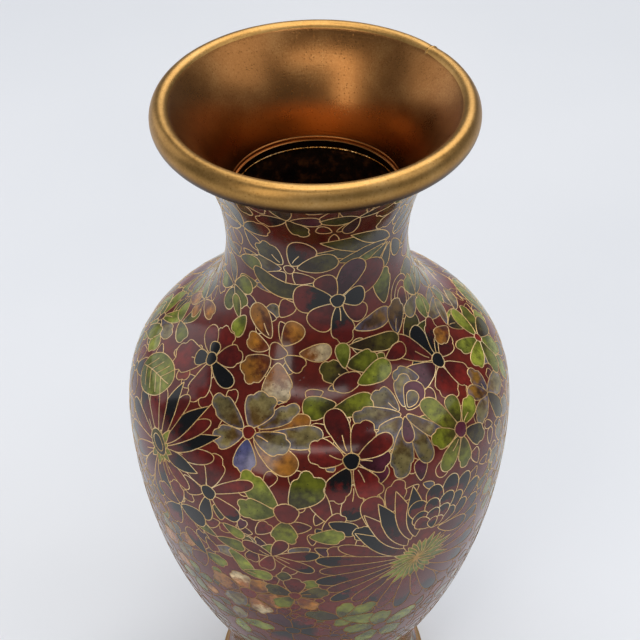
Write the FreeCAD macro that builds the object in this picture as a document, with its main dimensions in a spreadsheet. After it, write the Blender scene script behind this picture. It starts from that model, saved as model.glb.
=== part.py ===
# Cloisonne vase: spun copper shells brazed together, a turned brass mouth and foot,
# a fired coat of enamel outside and a dark counter-enamel inside.
# Row frame in millimetres: +Z up, origin at the centre of the foot's resting face.
import FreeCAD, Part
import math
import os
import Sketcher

doc = FreeCAD.newDocument("cloisonne_vase")

# ---------------------------------------------------------------- driving dimensions

DIMENSIONS = {
    # overall form, measured on the polished enamel surface
    "total_height": 255.0,
    "mouth_diameter": 94.0,
    "neck_drop": 46.5,  # from the top of the lip down to the neck's narrowest level
    "neck_radius": 27.5,
    "shoulder_fall": 68.0,  # from the neck down to the belly's widest level
    "belly_radius": 62.5,
    "waist_radius": 34.0,
    "waist_level": 20.0,
    "cove_arc": 43.0,  # hollow below the neck
    "shoulder_arc": 28.5,  # tight turn of the shoulder
    "belly_arc": 71.0,  # upper belly
    "lower_cove_arc": 60.0,  # hollow above the foot
    "foot_flare_arc": 28.0,
    # thicknesses
    "enamel_coat": 1.0,
    "copper_wall": 1.2,
    "lining_coat": 0.4,
    "braze_gap": 0.3,
    # mouth
    "lip_width": 6.5,
    "lip_height": 8.5,
    "lip_end_arc": 2.7,  # top and bottom of the lip's oval section
    "lip_joint_angle": 38.0,  # where the hoop's two ends meet, in degrees from +X towards +Y
    "funnel_wall": 2.0,
    "funnel_clearance": 0.2,
    "funnel_rise": 3.2,  # the funnel's edge, above the middle of the lip
    "throat_rise": 13.5,  # the funnel's lower end, above the neck
    "throat_land": 2.5,  # straight stretch of the bore, measured up
    "throat_step": 0.6,  # from the bowl in to the land
    "throat_braze": 1.2,
    "border_wire": 0.6,
    "border_gap": 0.5,  # bare metal between the lip and its border wire
    # foot and bottom
    "ring_height": 7.0,
    "ring_edge": 1.2,
    "ring_band": 2.6,  # straight part of the ring's outside
    "ring_wall": 0.85,  # brass outside the skirt's edge
    "ring_shelf": 4.2,  # brass inside the skirt's edge
    "skirt_seat": 3.5,  # the copper skirt's lower edge, inside the ring
    "base_rise": 1.0,  # the base plate's underside, above the waist
    "base_plate": 1.5,
    "base_clearance": 0.1,
    "base_braze": 1.6,
    "base_enamel": 0.6,
}

sheet = doc.addObject("Spreadsheet::Sheet", "Dims")
for row, (name, number) in enumerate(DIMENSIONS.items(), start=1):
    sheet.set(f"A{row}", name)
    sheet.set(f"B{row}", str(number))
    sheet.setAlias(f"B{row}", name)

# Sizes that follow from the driving ones. "Own." stands for this set of values.
FOOT_ARC_AT = "Dims.waist_radius + Dims.foot_flare_arc - sqrt((Dims.foot_flare_arc + {0})^2 - {1}^2)"
DERIVED = {
    "copper_inset": "Dims.enamel_coat",
    "cavity_inset": "Dims.enamel_coat + Dims.copper_wall",
    "lining_inset": "Dims.enamel_coat + Dims.copper_wall + Dims.lining_coat",
    "funnel_inset": "Own.cavity_inset + Dims.funnel_clearance",
    "bowl_inset": "Own.funnel_inset + Dims.funnel_wall",
    # levels
    "neck_level": "Dims.total_height - Dims.neck_drop",
    "belly_level": "Own.neck_level - Dims.shoulder_fall",
    "lip_level": "Dims.total_height - Dims.lip_height / 2",
    "edge_level": "Own.lip_level + Dims.funnel_rise",
    "throat_level": "Own.neck_level + Dims.throat_rise",
    "land_level": "Own.throat_level + Dims.throat_land",
    "enamel_top": "Dims.total_height - Dims.lip_height - Dims.border_gap - Dims.border_wire",
    "enamel_foot": "Dims.ring_height + Dims.border_wire",
    "base_level": "Dims.waist_level + Dims.base_rise",
    "floor_level": "Own.base_level + Dims.base_plate",
    "lining_top": "Own.throat_level - Dims.throat_braze",
    # mouth, from the axis out
    "lip_centre": "(Dims.mouth_diameter - Dims.lip_width) / 2",
    "lip_side_arc": "((Dims.lip_width / 2)^2 + (Dims.lip_height / 2 - Dims.lip_end_arc)^2"
    " - Dims.lip_end_arc^2) / (Dims.lip_width - 2 * Dims.lip_end_arc)",
    # where the funnel's edge meets the top arc of the lip's oval
    "edge_radius": "Own.lip_centre - sqrt(Dims.lip_end_arc^2"
    " - (Dims.funnel_rise - Dims.lip_height / 2 + Dims.lip_end_arc)^2)",
    # radius of the flare, so that the funnel's inside meets the top of the lip
    "flare_arc": "((Own.edge_radius - Dims.neck_radius)^2 + (Own.edge_level - Own.neck_level)^2"
    " - Own.bowl_inset^2) / (2 * (Own.bowl_inset + Own.edge_radius - Dims.neck_radius))",
    "flare_centre": "Dims.neck_radius + Own.flare_arc",
    "throat_radius": "Own.flare_centre - Dims.throat_step"
    " - sqrt((Own.flare_arc + Own.bowl_inset)^2 - (Own.land_level - Own.neck_level)^2)",
    # foot, from the skirt's flare
    "skirt_radius": FOOT_ARC_AT.format("0", "(Dims.waist_level - Dims.ring_height)"),
    "ring_radius": FOOT_ARC_AT.format("Own.copper_inset", "(Dims.waist_level - Dims.skirt_seat)")
    + " + Dims.ring_wall",
    "ring_bore": FOOT_ARC_AT.format("Own.cavity_inset", "(Dims.waist_level - Dims.skirt_seat)")
    + " - Dims.ring_shelf",
    "ring_band_top": "Dims.ring_edge + Dims.ring_band",
    "base_bore": "Dims.waist_radius - Own.cavity_inset",
}

derived = doc.addObject("App::VarSet", "Own")
for name, expression in DERIVED.items():
    derived.addProperty("App::PropertyFloat", name)
    derived.setExpression(name, expression.replace("Own.", ""))
doc.recompute()


def size(name):
    """The present value of a driving or a derived size."""
    return float(getattr(sheet if name in DIMENSIONS else derived, name))


# ---------------------------------------------------------------- sketches


def section(label):
    """An empty body with a sketch in its own XZ plane: sketch x is the radius, y the height."""
    body = doc.addObject("PartDesign::Body", label + "_body")
    sketch = body.newObject("Sketcher::SketchObject", label + "_section")
    plane = next(f for f in body.Origin.OriginFeatures if f.Role == "XZ_Plane")
    sketch.AttachmentSupport = [(plane, "")]
    sketch.MapMode = "FlatFace"
    return body, sketch


def arc(sketch, centre, radius, start, end):
    """Adds an arc between two angles, counter-clockwise, and returns its number."""
    circle = Part.Circle(FreeCAD.Vector(*centre, 0), FreeCAD.Vector(0, 0, 1), radius)
    return sketch.addGeometry(Part.ArcOfCircle(circle, start, end), False)


def line(sketch, start, end):
    return sketch.addGeometry(
        Part.LineSegment(FreeCAD.Vector(*start, 0), FreeCAD.Vector(*end, 0)), False
    )


START, END, CENTRE = 1, 2, 3
ORIGIN = (-1, 1)
V_AXIS = -2


def across(sketch, geometry, point, expression, number):
    """Holds a point's radius to an expression."""
    index = sketch.addConstraint(
        Sketcher.Constraint("DistanceX", *ORIGIN, geometry, point, number)
    )
    sketch.setExpression(f"Constraints[{index}]", expression)


def up(sketch, geometry, point, expression, number):
    """Holds a point's height to an expression."""
    index = sketch.addConstraint(
        Sketcher.Constraint("DistanceY", *ORIGIN, geometry, point, number)
    )
    sketch.setExpression(f"Constraints[{index}]", expression)


def radius_of(sketch, geometry, expression, number):
    index = sketch.addConstraint(Sketcher.Constraint("Radius", geometry, number))
    sketch.setExpression(f"Constraints[{index}]", expression)


def join(sketch, kind, first, first_point, second, second_point):
    """kind is Coincident, Tangent or Horizontal, between two points."""
    sketch.addConstraint(
        Sketcher.Constraint(kind, first, first_point, second, second_point)
    )


def revolve(body, sketch, label):
    doc.recompute()
    turn = body.newObject("PartDesign::Revolution", label + "_turn")
    turn.Profile = sketch
    turn.ReferenceAxis = (sketch, ["V_Axis"])
    turn.Angle = 360
    body.Tip = turn
    return body


def angle(centre, point):
    return math.atan2(point[1] - centre[1], point[0] - centre[0])


def towards(start, end, distance):
    span = math.dist(start, end)
    return tuple(a + (b - a) * distance / span for a, b in zip(start, end))


def vase_blank(label, inset_name):
    """A solid of the whole vase's outline, drawn in from the enamel's surface by an inset.
    Seven tangent arcs run from the lip to the foot, and keep their centres at every inset."""
    inset = size(inset_name) if inset_name else 0.0
    less = f" - Own.{inset_name}" if inset_name else ""
    more = f" + Own.{inset_name}" if inset_name else ""
    neck, belly, waist = size("neck_level"), size("belly_level"), size("waist_level")
    top = size("lip_level")

    flare_at = (size("flare_centre"), neck)
    cove_at = (size("neck_radius") + size("cove_arc"), neck)
    belly_at = (size("belly_radius") - size("belly_arc"), belly)
    hollow_at = (size("waist_radius") + size("lower_cove_arc"), waist)
    foot_at = (size("waist_radius") + size("foot_flare_arc"), waist)

    # the shoulder's centre, from its distances to the cove's and the belly's centres
    to_cove = size("cove_arc") + size("shoulder_arc")
    to_belly = size("belly_arc") - size("shoulder_arc")
    span = math.dist(cove_at, belly_at)
    along = (to_cove**2 - to_belly**2 + span**2) / (2 * span)
    aside = math.sqrt(to_cove**2 - along**2)
    unit = ((belly_at[0] - cove_at[0]) / span, (belly_at[1] - cove_at[1]) / span)
    shoulder_at = (
        cove_at[0] + along * unit[0] - aside * unit[1],
        cove_at[1] + along * unit[1] + aside * unit[0],
    )
    # the lower belly's radius, so that it leaves the belly upright and meets the hollow
    reach = hollow_at[0] - size("belly_radius")
    drop = belly - waist
    lower_arc = (reach**2 + drop**2 - size("lower_cove_arc") ** 2) / (
        2 * (size("lower_cove_arc") - reach)
    )
    lower_at = (size("belly_radius") - lower_arc, belly)

    radii = {
        "flare": size("flare_arc") + inset,
        "cove": size("cove_arc") + inset,
        "shoulder": size("shoulder_arc") - inset,
        "belly": size("belly_arc") - inset,
        "lower": lower_arc - inset,
        "hollow": size("lower_cove_arc") + inset,
        "foot": size("foot_flare_arc") + inset,
    }
    cove_end = towards(cove_at, shoulder_at, radii["cove"])
    belly_end = towards(belly_at, shoulder_at, radii["belly"])
    lower_end = towards(hollow_at, lower_at, radii["hollow"])
    flare_top = math.pi - math.asin((top - neck) / radii["flare"])
    foot_end = math.pi + math.asin(waist / radii["foot"])

    body, sketch = section(label)
    flare = arc(sketch, flare_at, radii["flare"], flare_top, math.pi)
    cove = arc(
        sketch,
        cove_at,
        radii["cove"],
        math.pi,
        2 * math.pi + angle(cove_at, cove_end),
    )
    shoulder = arc(
        sketch,
        shoulder_at,
        radii["shoulder"],
        angle(shoulder_at, belly_end),
        angle(shoulder_at, cove_end),
    )
    upper = arc(sketch, belly_at, radii["belly"], 0, angle(belly_at, belly_end))
    lower = arc(sketch, lower_at, radii["lower"], angle(lower_at, lower_end), 0)
    hollow = arc(
        sketch, hollow_at, radii["hollow"], angle(hollow_at, lower_end), math.pi
    )
    foot = arc(sketch, foot_at, radii["foot"], math.pi, foot_end)
    top_radius = flare_at[0] + radii["flare"] * math.cos(flare_top)
    foot_radius = foot_at[0] + radii["foot"] * math.cos(foot_end)
    lid = line(sketch, (top_radius, top), (0, top))
    core = line(sketch, (0, top), (0, 0))
    bottom = line(sketch, (0, 0), (foot_radius, 0))

    across(sketch, flare, CENTRE, "Own.flare_centre", flare_at[0])
    up(sketch, flare, CENTRE, "Own.neck_level", neck)
    radius_of(sketch, flare, "Own.flare_arc" + more, radii["flare"])
    up(sketch, flare, START, "Own.lip_level", top)
    join(sketch, "Horizontal", flare, CENTRE, flare, END)

    across(sketch, cove, CENTRE, "Dims.neck_radius + Dims.cove_arc", cove_at[0])
    up(sketch, cove, CENTRE, "Own.neck_level", neck)
    join(sketch, "Coincident", flare, END, cove, START)

    radius_of(sketch, shoulder, "Dims.shoulder_arc" + less, radii["shoulder"])
    join(sketch, "Tangent", cove, END, shoulder, END)
    join(sketch, "Tangent", shoulder, START, upper, END)

    across(sketch, upper, CENTRE, "Dims.belly_radius - Dims.belly_arc", belly_at[0])
    up(sketch, upper, CENTRE, "Own.belly_level", belly)
    across(
        sketch, upper, START, "Dims.belly_radius" + less, size("belly_radius") - inset
    )
    join(sketch, "Horizontal", upper, CENTRE, upper, START)

    up(sketch, lower, CENTRE, "Own.belly_level", belly)
    join(sketch, "Coincident", upper, START, lower, END)
    join(sketch, "Tangent", lower, START, hollow, START)

    across(
        sketch, hollow, CENTRE, "Dims.waist_radius + Dims.lower_cove_arc", hollow_at[0]
    )
    up(sketch, hollow, CENTRE, "Dims.waist_level", waist)
    across(
        sketch, hollow, END, "Dims.waist_radius" + less, size("waist_radius") - inset
    )
    join(sketch, "Horizontal", hollow, CENTRE, hollow, END)

    across(sketch, foot, CENTRE, "Dims.waist_radius + Dims.foot_flare_arc", foot_at[0])
    up(sketch, foot, CENTRE, "Dims.waist_level", waist)
    join(sketch, "Coincident", hollow, END, foot, START)

    join(sketch, "Coincident", flare, START, lid, START)
    join(sketch, "Coincident", lid, END, core, START)
    join(sketch, "Coincident", core, END, bottom, START)
    join(sketch, "Coincident", foot, END, bottom, END)
    sketch.addConstraint(Sketcher.Constraint("Horizontal", lid))
    sketch.addConstraint(Sketcher.Constraint("PointOnObject", lid, END, V_AXIS))
    sketch.addConstraint(Sketcher.Constraint("Coincident", core, END, *ORIGIN))
    sketch.addConstraint(Sketcher.Constraint("Horizontal", bottom))
    return revolve(body, sketch, label)


# ---------------------------------------------------------------- solids from the blanks


def slab(label, low, high):
    """A thick disc, wider than the vase, between two levels. Both are expressions."""
    disc = doc.addObject("Part::Cylinder", label)
    disc.setExpression("Radius", "Dims.belly_radius * 2")
    disc.setExpression("Placement.Base.z", low)
    disc.setExpression("Height", f"({high}) - ({low})")
    return disc


def cut(label, base, tool):
    piece = doc.addObject("Part::Cut", label)
    piece.Base, piece.Tool = base, tool
    return piece


def common(label, base, tool):
    piece = doc.addObject("Part::Common", label)
    piece.Base, piece.Tool = base, tool
    return piece


def band(label, wall, low, high):
    """The stretch of a wall between two levels."""
    return common(label, wall, slab(label + "_span", low, high))


def mouth_funnel():
    """The turned brass funnel: its inside is the bowl that shows, down to a short straight land."""
    body, sketch = section("mouth_funnel")
    centre = (size("flare_centre"), size("neck_level"))
    outer = size("flare_arc") + size("funnel_inset")
    inner = size("flare_arc") + size("bowl_inset")
    edge, throat = size("edge_level"), size("throat_level")
    land = size("land_level")

    def at(radius, level):
        return math.pi - math.asin((level - centre[1]) / radius)

    def point(radius, level):
        return (centre[0] + radius * math.cos(at(radius, level)), level)

    back = arc(sketch, centre, outer, at(outer, edge), at(outer, throat))
    bowl = arc(sketch, centre, inner, at(inner, edge), at(inner, land))
    rim = line(sketch, point(outer, edge), point(inner, edge))
    step = line(sketch, point(inner, land), (size("throat_radius"), land))
    wall = line(sketch, (size("throat_radius"), land), (size("throat_radius"), throat))
    end = line(sketch, (size("throat_radius"), throat), point(outer, throat))

    across(sketch, back, CENTRE, "Own.flare_centre", centre[0])
    up(sketch, back, CENTRE, "Own.neck_level", centre[1])
    radius_of(sketch, back, "Own.flare_arc + Own.funnel_inset", outer)
    up(sketch, back, START, "Own.edge_level", edge)
    up(sketch, back, END, "Own.throat_level", throat)
    join(sketch, "Coincident", back, CENTRE, bowl, CENTRE)
    radius_of(sketch, bowl, "Own.flare_arc + Own.bowl_inset", inner)
    up(sketch, bowl, END, "Own.land_level", land)
    join(sketch, "Coincident", back, START, rim, START)
    join(sketch, "Coincident", bowl, START, rim, END)
    sketch.addConstraint(Sketcher.Constraint("Horizontal", rim))
    join(sketch, "Coincident", bowl, END, step, START)
    sketch.addConstraint(Sketcher.Constraint("Horizontal", step))
    across(sketch, step, END, "Own.throat_radius", size("throat_radius"))
    join(sketch, "Coincident", step, END, wall, START)
    sketch.addConstraint(Sketcher.Constraint("Vertical", wall))
    join(sketch, "Coincident", wall, END, end, START)
    sketch.addConstraint(Sketcher.Constraint("Horizontal", end))
    join(sketch, "Coincident", end, END, back, END)
    return revolve(body, sketch, "mouth_funnel")


def lip_blank():
    """The lip's full oval ring of four tangent arcs, before its seat is cut from it."""
    body, sketch = section("lip")
    middle, level = size("lip_centre"), size("lip_level")
    end, side = size("lip_end_arc"), size("lip_side_arc")
    rise, shift = size("lip_height") / 2 - end, side - size("lip_width") / 2
    turn = math.atan2(rise, shift)  # half of each side arc's sweep
    outer = arc(sketch, (middle - shift, level), side, -turn, turn)
    top = arc(sketch, (middle, level + rise), end, turn, math.pi - turn)
    inner = arc(sketch, (middle + shift, level), side, math.pi - turn, math.pi + turn)
    bottom = arc(sketch, (middle, level - rise), end, math.pi + turn, 2 * math.pi - turn)
    for cap, sign in ((top, "+"), (bottom, "-")):
        across(sketch, cap, CENTRE, "Own.lip_centre", middle)
        up(
            sketch,
            cap,
            CENTRE,
            f"Own.lip_level {sign} (Dims.lip_height / 2 - Dims.lip_end_arc)",
            level + rise if sign == "+" else level - rise,
        )
        radius_of(sketch, cap, "Dims.lip_end_arc", end)
    for flank in (outer, inner):
        radius_of(sketch, flank, "Own.lip_side_arc", side)
    ring = [outer, top, inner, bottom]
    for first, second in zip(ring, ring[1:] + ring[:1]):
        join(sketch, "Tangent", first, END, second, START)
    return revolve(body, sketch, "lip")


def lip_joint_slice():
    """A thin upright slice that starts at the axis and crosses the lip where its ends meet."""
    slice_box = doc.addObject("Part::Box", "lip_joint_slice")
    slice_box.Placement.Rotation = FreeCAD.Rotation(FreeCAD.Vector(0, 0, 1), size("lip_joint_angle"))
    slice_box.setExpression("Placement.Rotation.Angle", "Dims.lip_joint_angle * 1 deg")
    slice_box.setExpression("Placement.Base.x", "Dims.braze_gap / 2 * sin(Dims.lip_joint_angle * 1 deg)")
    slice_box.setExpression("Placement.Base.y", "-Dims.braze_gap / 2 * cos(Dims.lip_joint_angle * 1 deg)")
    slice_box.setExpression("Placement.Base.z", "Dims.total_height - Dims.lip_height")
    slice_box.setExpression("Length", "Dims.mouth_diameter")
    slice_box.setExpression("Width", "Dims.braze_gap")
    slice_box.setExpression("Height", "Dims.lip_height")
    return slice_box


def foot_ring_blank():
    """The turned foot ring's outline, with a rounded lower edge and a sloped shoulder."""
    body, sketch = section("foot_ring")
    bore, outside, edge = size("ring_bore"), size("ring_radius"), size("ring_edge")
    top, band_top = size("ring_height"), size("ring_band_top")
    neck = size("skirt_radius")
    base = line(sketch, (bore, 0), (outside - edge, 0))
    corner = arc(sketch, (outside - edge, edge), edge, -math.pi / 2, 0)
    side = line(sketch, (outside, edge), (outside, band_top))
    slope = line(sketch, (outside, band_top), (neck, top))
    lid = line(sketch, (neck, top), (bore, top))
    wall = line(sketch, (bore, top), (bore, 0))
    across(sketch, base, START, "Own.ring_bore", bore)
    sketch.addConstraint(Sketcher.Constraint("PointOnObject", base, START, -1))
    sketch.addConstraint(Sketcher.Constraint("Horizontal", base))
    join(sketch, "Tangent", base, END, corner, START)
    radius_of(sketch, corner, "Dims.ring_edge", edge)
    join(sketch, "Tangent", corner, END, side, START)
    across(sketch, side, START, "Own.ring_radius", outside)
    sketch.addConstraint(Sketcher.Constraint("Vertical", side))
    up(sketch, side, END, "Own.ring_band_top", band_top)
    join(sketch, "Coincident", side, END, slope, START)
    across(sketch, slope, END, "Own.skirt_radius", neck)
    up(sketch, slope, END, "Dims.ring_height", top)
    join(sketch, "Coincident", slope, END, lid, START)
    sketch.addConstraint(Sketcher.Constraint("Horizontal", lid))
    join(sketch, "Coincident", lid, END, wall, START)
    sketch.addConstraint(Sketcher.Constraint("Vertical", wall))
    join(sketch, "Coincident", wall, END, base, START)
    return revolve(body, sketch, "foot_ring")


def disc(label, radius, low, thickness):
    """A flat round plate. All sizes are expressions."""
    plate = doc.addObject("Part::Cylinder", label)
    plate.setExpression("Radius", radius)
    plate.setExpression("Height", thickness)
    plate.setExpression("Placement.Base.z", low)
    return plate


def fillet_ring(label, inside, level, leg, low_radius, high_radius):
    """A brazed fillet that fills the corner below a piece, against the inside of the copper.
    The two radii are those of its sloped face, at its lower end and at its upper end."""
    ring = band(label + "_blank", inside, f"({level}) - {leg}", level)
    cone = doc.addObject("Part::Cone", label + "_cone")
    cone.setExpression("Radius1", low_radius)
    cone.setExpression("Radius2", high_radius)
    cone.setExpression("Height", leg)
    cone.setExpression("Placement.Base.z", f"({level}) - {leg}")
    return cut(label, ring, cone)


# ---------------------------------------------------------------- the vase

enamel_blank = vase_blank("enamel_blank", None)
copper_blank = vase_blank("copper_blank", "copper_inset")
cavity_blank = vase_blank("cavity_blank", "cavity_inset")
lining_blank = vase_blank("lining_blank", "lining_inset")
coat = cut("coat", enamel_blank, copper_blank)
wall = cut("copper_wall", copper_blank, cavity_blank)

nodes = {}


def keep(name, feature):
    nodes[name] = feature
    feature.Label = name


HALF_GAP = "Dims.braze_gap / 2"
SEAMS = {"neck": "Own.neck_level", "belly": "Own.belly_level", "foot": "Dims.waist_level"}

# mouth, where the lip is seated over the funnel's edge and the neck shell's edge
funnel = mouth_funnel()
lip_seat = band("lip_seat", copper_blank, "Dims.total_height - Dims.lip_height", "Own.lip_level")
hoop = cut("lip_hoop", cut("lip_over_shell", lip_blank(), lip_seat), funnel)
joint_slice = lip_joint_slice()
keep("mouth_funnel", funnel)
keep("lip_ring", cut("lip_ring_cut", hoop, joint_slice))
keep("lip_joint_braze", common("lip_joint_common", hoop, joint_slice))

# copper shells, joined end to end by brazed seams
shell_tops = f"{SEAMS['neck']} + {HALF_GAP}", "Own.lip_level"
keep("neck_shell", band("neck_shell_band", wall, *shell_tops))
shell_ends = {
    "shoulder_shell": (SEAMS["belly"], SEAMS["neck"]),
    "lower_shell": (SEAMS["foot"], SEAMS["belly"]),
}
for name, (low, high) in shell_ends.items():
    piece = band(name + "_band", wall, f"{low} + {HALF_GAP}", f"{high} - {HALF_GAP}")
    keep(name, piece)
skirt = band("foot_skirt_band", wall, "Dims.skirt_seat", f"{SEAMS['foot']} - {HALF_GAP}")
keep("foot_skirt", skirt)
for name, level in SEAMS.items():
    seam = band(name + "_seam_band", wall, f"{level} - {HALF_GAP}", f"{level} + {HALF_GAP}")
    keep(name + "_seam_braze", seam)

# foot and bottom
keep("foot_ring", cut("foot_ring_cut", foot_ring_blank(), skirt))
plate = disc(
    "base_disc", "Own.base_bore - Dims.base_clearance", "Own.base_level", "Dims.base_plate"
)
keep("base_plate", plate)
braze = fillet_ring(
    "base_braze_cut",
    cavity_blank,
    "Own.base_level",
    "Dims.base_braze",
    "Own.base_bore",
    "Own.base_bore - Dims.base_braze",
)
keep("base_braze", braze)
under_coat = disc(
    "base_enamel_disc",
    "Own.base_bore - Dims.base_braze - Dims.base_clearance",
    "Own.base_level - Dims.base_enamel",
    "Dims.base_enamel",
)
keep("base_enamel", under_coat)

# the ragged fillet that holds the funnel's lower end in the neck
throat = fillet_ring(
    "throat_braze_cut",
    cavity_blank,
    "Own.throat_level",
    "Dims.throat_braze",
    "Own.throat_radius + Dims.throat_braze",
    "Own.throat_radius + Dims.braze_gap",
)
keep("throat_braze", throat)

# counter-enamel: a thin cup inside the copper, from the base plate to the throat
lining_cup = band("lining_cup", cavity_blank, "Own.floor_level", "Own.lining_top")
lining_room = band(
    "lining_room", lining_blank, "Own.floor_level + Dims.lining_coat", "Own.lip_level"
)
keep("counter_enamel", cut("counter_enamel_cut", lining_cup, lining_room))

# the enamel coat between its two border wires
keep("enamel_coat", band("enamel_band", coat, "Own.enamel_foot", "Own.enamel_top"))
border_wires = {
    "neck_border_wire": ("Own.enamel_top", "Own.enamel_top + Dims.border_wire"),
    "foot_border_wire": ("Dims.ring_height", "Own.enamel_foot"),
}
for name, (low, high) in border_wires.items():
    keep(name, band(name + "_band", coat, low, high))

# ---------------------------------------------------------------- checks and export

doc.recompute()
bad = [o.Name for o in doc.Objects if "Invalid" in o.State or "Error" in o.State]
if bad:
    raise SystemExit(f"these objects failed to build: {bad}")
for name, feature in nodes.items():
    shape = feature.Shape
    if shape.isNull() or not shape.isValid() or shape.Volume <= 0 or not shape.Solids:
        raise SystemExit(f"{name} isn't a valid solid")

os.makedirs("parts", exist_ok=True)
for name, feature in nodes.items():
    feature.Shape.exportStep(f"parts/{name}.step")
    box = feature.Shape.optimalBoundingBox(False, False)
    print(
        f"{name:20s} solids {len(feature.Shape.Solids)}  volume {feature.Shape.Volume:9.1f}"
        f"  reach {box.XMax:6.2f}  levels {box.ZMin:7.2f} to {box.ZMax:7.2f}"
    )
print(f"throat bore radius {size('throat_radius'):.4f}, foot ring bore radius {size('ring_bore'):.3f}")
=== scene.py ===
import math
import random

import bpy
from mathutils import Matrix, Vector, kdtree, noise
from mathutils.geometry import delaunay_2d_cdt


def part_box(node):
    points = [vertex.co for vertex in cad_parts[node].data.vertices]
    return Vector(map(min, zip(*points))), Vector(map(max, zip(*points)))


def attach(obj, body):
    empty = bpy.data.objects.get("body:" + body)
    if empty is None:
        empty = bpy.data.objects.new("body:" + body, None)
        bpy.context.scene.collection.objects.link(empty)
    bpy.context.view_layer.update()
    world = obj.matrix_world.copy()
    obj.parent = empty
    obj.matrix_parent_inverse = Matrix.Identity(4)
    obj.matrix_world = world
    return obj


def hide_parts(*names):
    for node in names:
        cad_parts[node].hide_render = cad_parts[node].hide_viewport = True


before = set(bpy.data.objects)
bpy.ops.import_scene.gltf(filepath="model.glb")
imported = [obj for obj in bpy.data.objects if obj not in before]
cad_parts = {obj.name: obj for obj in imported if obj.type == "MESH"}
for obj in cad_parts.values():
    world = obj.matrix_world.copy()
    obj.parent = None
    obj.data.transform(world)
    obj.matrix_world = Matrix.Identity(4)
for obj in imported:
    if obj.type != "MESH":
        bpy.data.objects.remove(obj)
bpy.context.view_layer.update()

mm = 0.001  # lengths below are millimetres unless a note says metres
dice = random.Random(7)  # seeded, so that every run gives the same vase


def nodeSpan(name):
    low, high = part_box(name)
    return low.z / mm, high.z / mm


# the vase's outline is seven arcs that run smoothly into each other
vaseForm = {
    "edgeRadius": 41.61, "trumpetInset": 4.4,  # the mouth's inner edge, the trumpet's face in from outside
    "neckRadius": 27.5, "neckLevel": 208.5, "coveArc": 43.0, "shoulderArc": 28.5,
    "bellyRadius": 62.5, "bellyLevel": 140.5, "bellyArc": 71.0,
    "waistRadius": 34.0, "waistLevel": 20.0, "lowerCoveArc": 60.0, "footArc": 28.0,
    "enamelThickness": 1.0, "polishInset": 0.09, "tableSteps": 2000,
}
edgeLevel = nodeSpan("mouth_funnel")[1]
enamelLow, enamelHigh = nodeSpan("enamel_coat")


def flareRadius(form):
    out, up = form["edgeRadius"] - form["neckRadius"], edgeLevel - form["neckLevel"]
    inset = form["trumpetInset"]
    return (out ** 2 + up ** 2 - inset ** 2) / (2 * (inset + out))


def outlineArcs(form):
    # from the foot up: centre, radius, first angle, last angle, bulging or hollow
    neck, belly, waist = form["neckLevel"], form["bellyLevel"], form["waistLevel"]
    flare = flareRadius(form)
    flareAt = (form["neckRadius"] + flare, neck)
    coveAt = (form["neckRadius"] + form["coveArc"], neck)
    bellyAt = (form["bellyRadius"] - form["bellyArc"], belly)
    hollowAt = (form["waistRadius"] + form["lowerCoveArc"], waist)
    footAt = (form["waistRadius"] + form["footArc"], waist)
    reach, drop = hollowAt[0] - form["bellyRadius"], belly - waist
    lower = (reach ** 2 + drop ** 2 - form["lowerCoveArc"] ** 2) / (2 * (form["lowerCoveArc"] - reach))
    lowerAt = (form["bellyRadius"] - lower, belly)
    toCove, toBelly = form["coveArc"] + form["shoulderArc"], form["bellyArc"] - form["shoulderArc"]
    span = math.dist(coveAt, bellyAt)
    along = (toCove ** 2 - toBelly ** 2 + span ** 2) / (2 * span)
    aside = math.sqrt(toCove ** 2 - along ** 2)
    ux, uz = (bellyAt[0] - coveAt[0]) / span, (bellyAt[1] - coveAt[1]) / span
    shoulderAt = (coveAt[0] + along * ux - aside * uz, coveAt[1] + along * uz + aside * ux)

    def bearing(a, b):
        return math.atan2(b[1] - a[1], b[0] - a[0]) % (2 * math.pi)

    turnLow = bearing(hollowAt, lowerAt)
    turnShoulder = bearing(bellyAt, shoulderAt)
    turnCove = bearing(coveAt, shoulderAt)
    return [
        (footAt, form["footArc"], math.pi + math.asin((waist - enamelLow) / form["footArc"]), math.pi, -1),
        (hollowAt, form["lowerCoveArc"], math.pi, turnLow, -1),
        (lowerAt, lower, turnLow - math.pi, 0.0, 1),
        (bellyAt, form["bellyArc"], 0.0, turnShoulder, 1),
        (shoulderAt, form["shoulderArc"], turnShoulder, turnCove - math.pi, 1),
        (coveAt, form["coveArc"], turnCove, math.pi, -1),
        (flareAt, flare, math.pi, math.pi - math.asin((enamelHigh - neck) / flare), -1),
    ]


arcs = outlineArcs(vaseForm)
arcStarts = [0.0]
for _, radius, first, last, _ in arcs:
    arcStarts.append(arcStarts[-1] + radius * abs(last - first))
outlineLength = arcStarts[-1]


def meridian(run):
    # radius, level and outward normal at a distance along the outline from the enamel's lower edge
    run = min(max(run, 0.0), outlineLength)
    k = next(i for i in range(len(arcs)) if run <= arcStarts[i + 1] or i == len(arcs) - 1)
    (cx, cz), radius, first, last, side = arcs[k]
    angle = first + (last - first) * (run - arcStarts[k]) / (arcStarts[k + 1] - arcStarts[k])
    c, s = math.cos(angle), math.sin(angle)
    return cx + radius * c, cz + radius * s, side * c, side * s


tableSteps = vaseForm["tableSteps"]
runTable = [outlineLength * k / tableSteps for k in range(tableSteps + 1)]
levelTable = [meridian(run)[1] for run in runTable]


def runAt(level):
    nearest = min(range(len(levelTable)), key=lambda k: abs(levelTable[k] - level))
    return runTable[nearest]


def onVase(azimuth, run, proud=0.0):
    # azimuth in radians from the front, -Y, towards +X
    radius, level, outward, upward = meridian(run)
    s, c = math.sin(azimuth), math.cos(azimuth)
    normal = Vector((outward * s, -outward * c, upward))
    return (Vector((radius * s, -radius * c, level)) + normal * proud) * mm, normal


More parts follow.
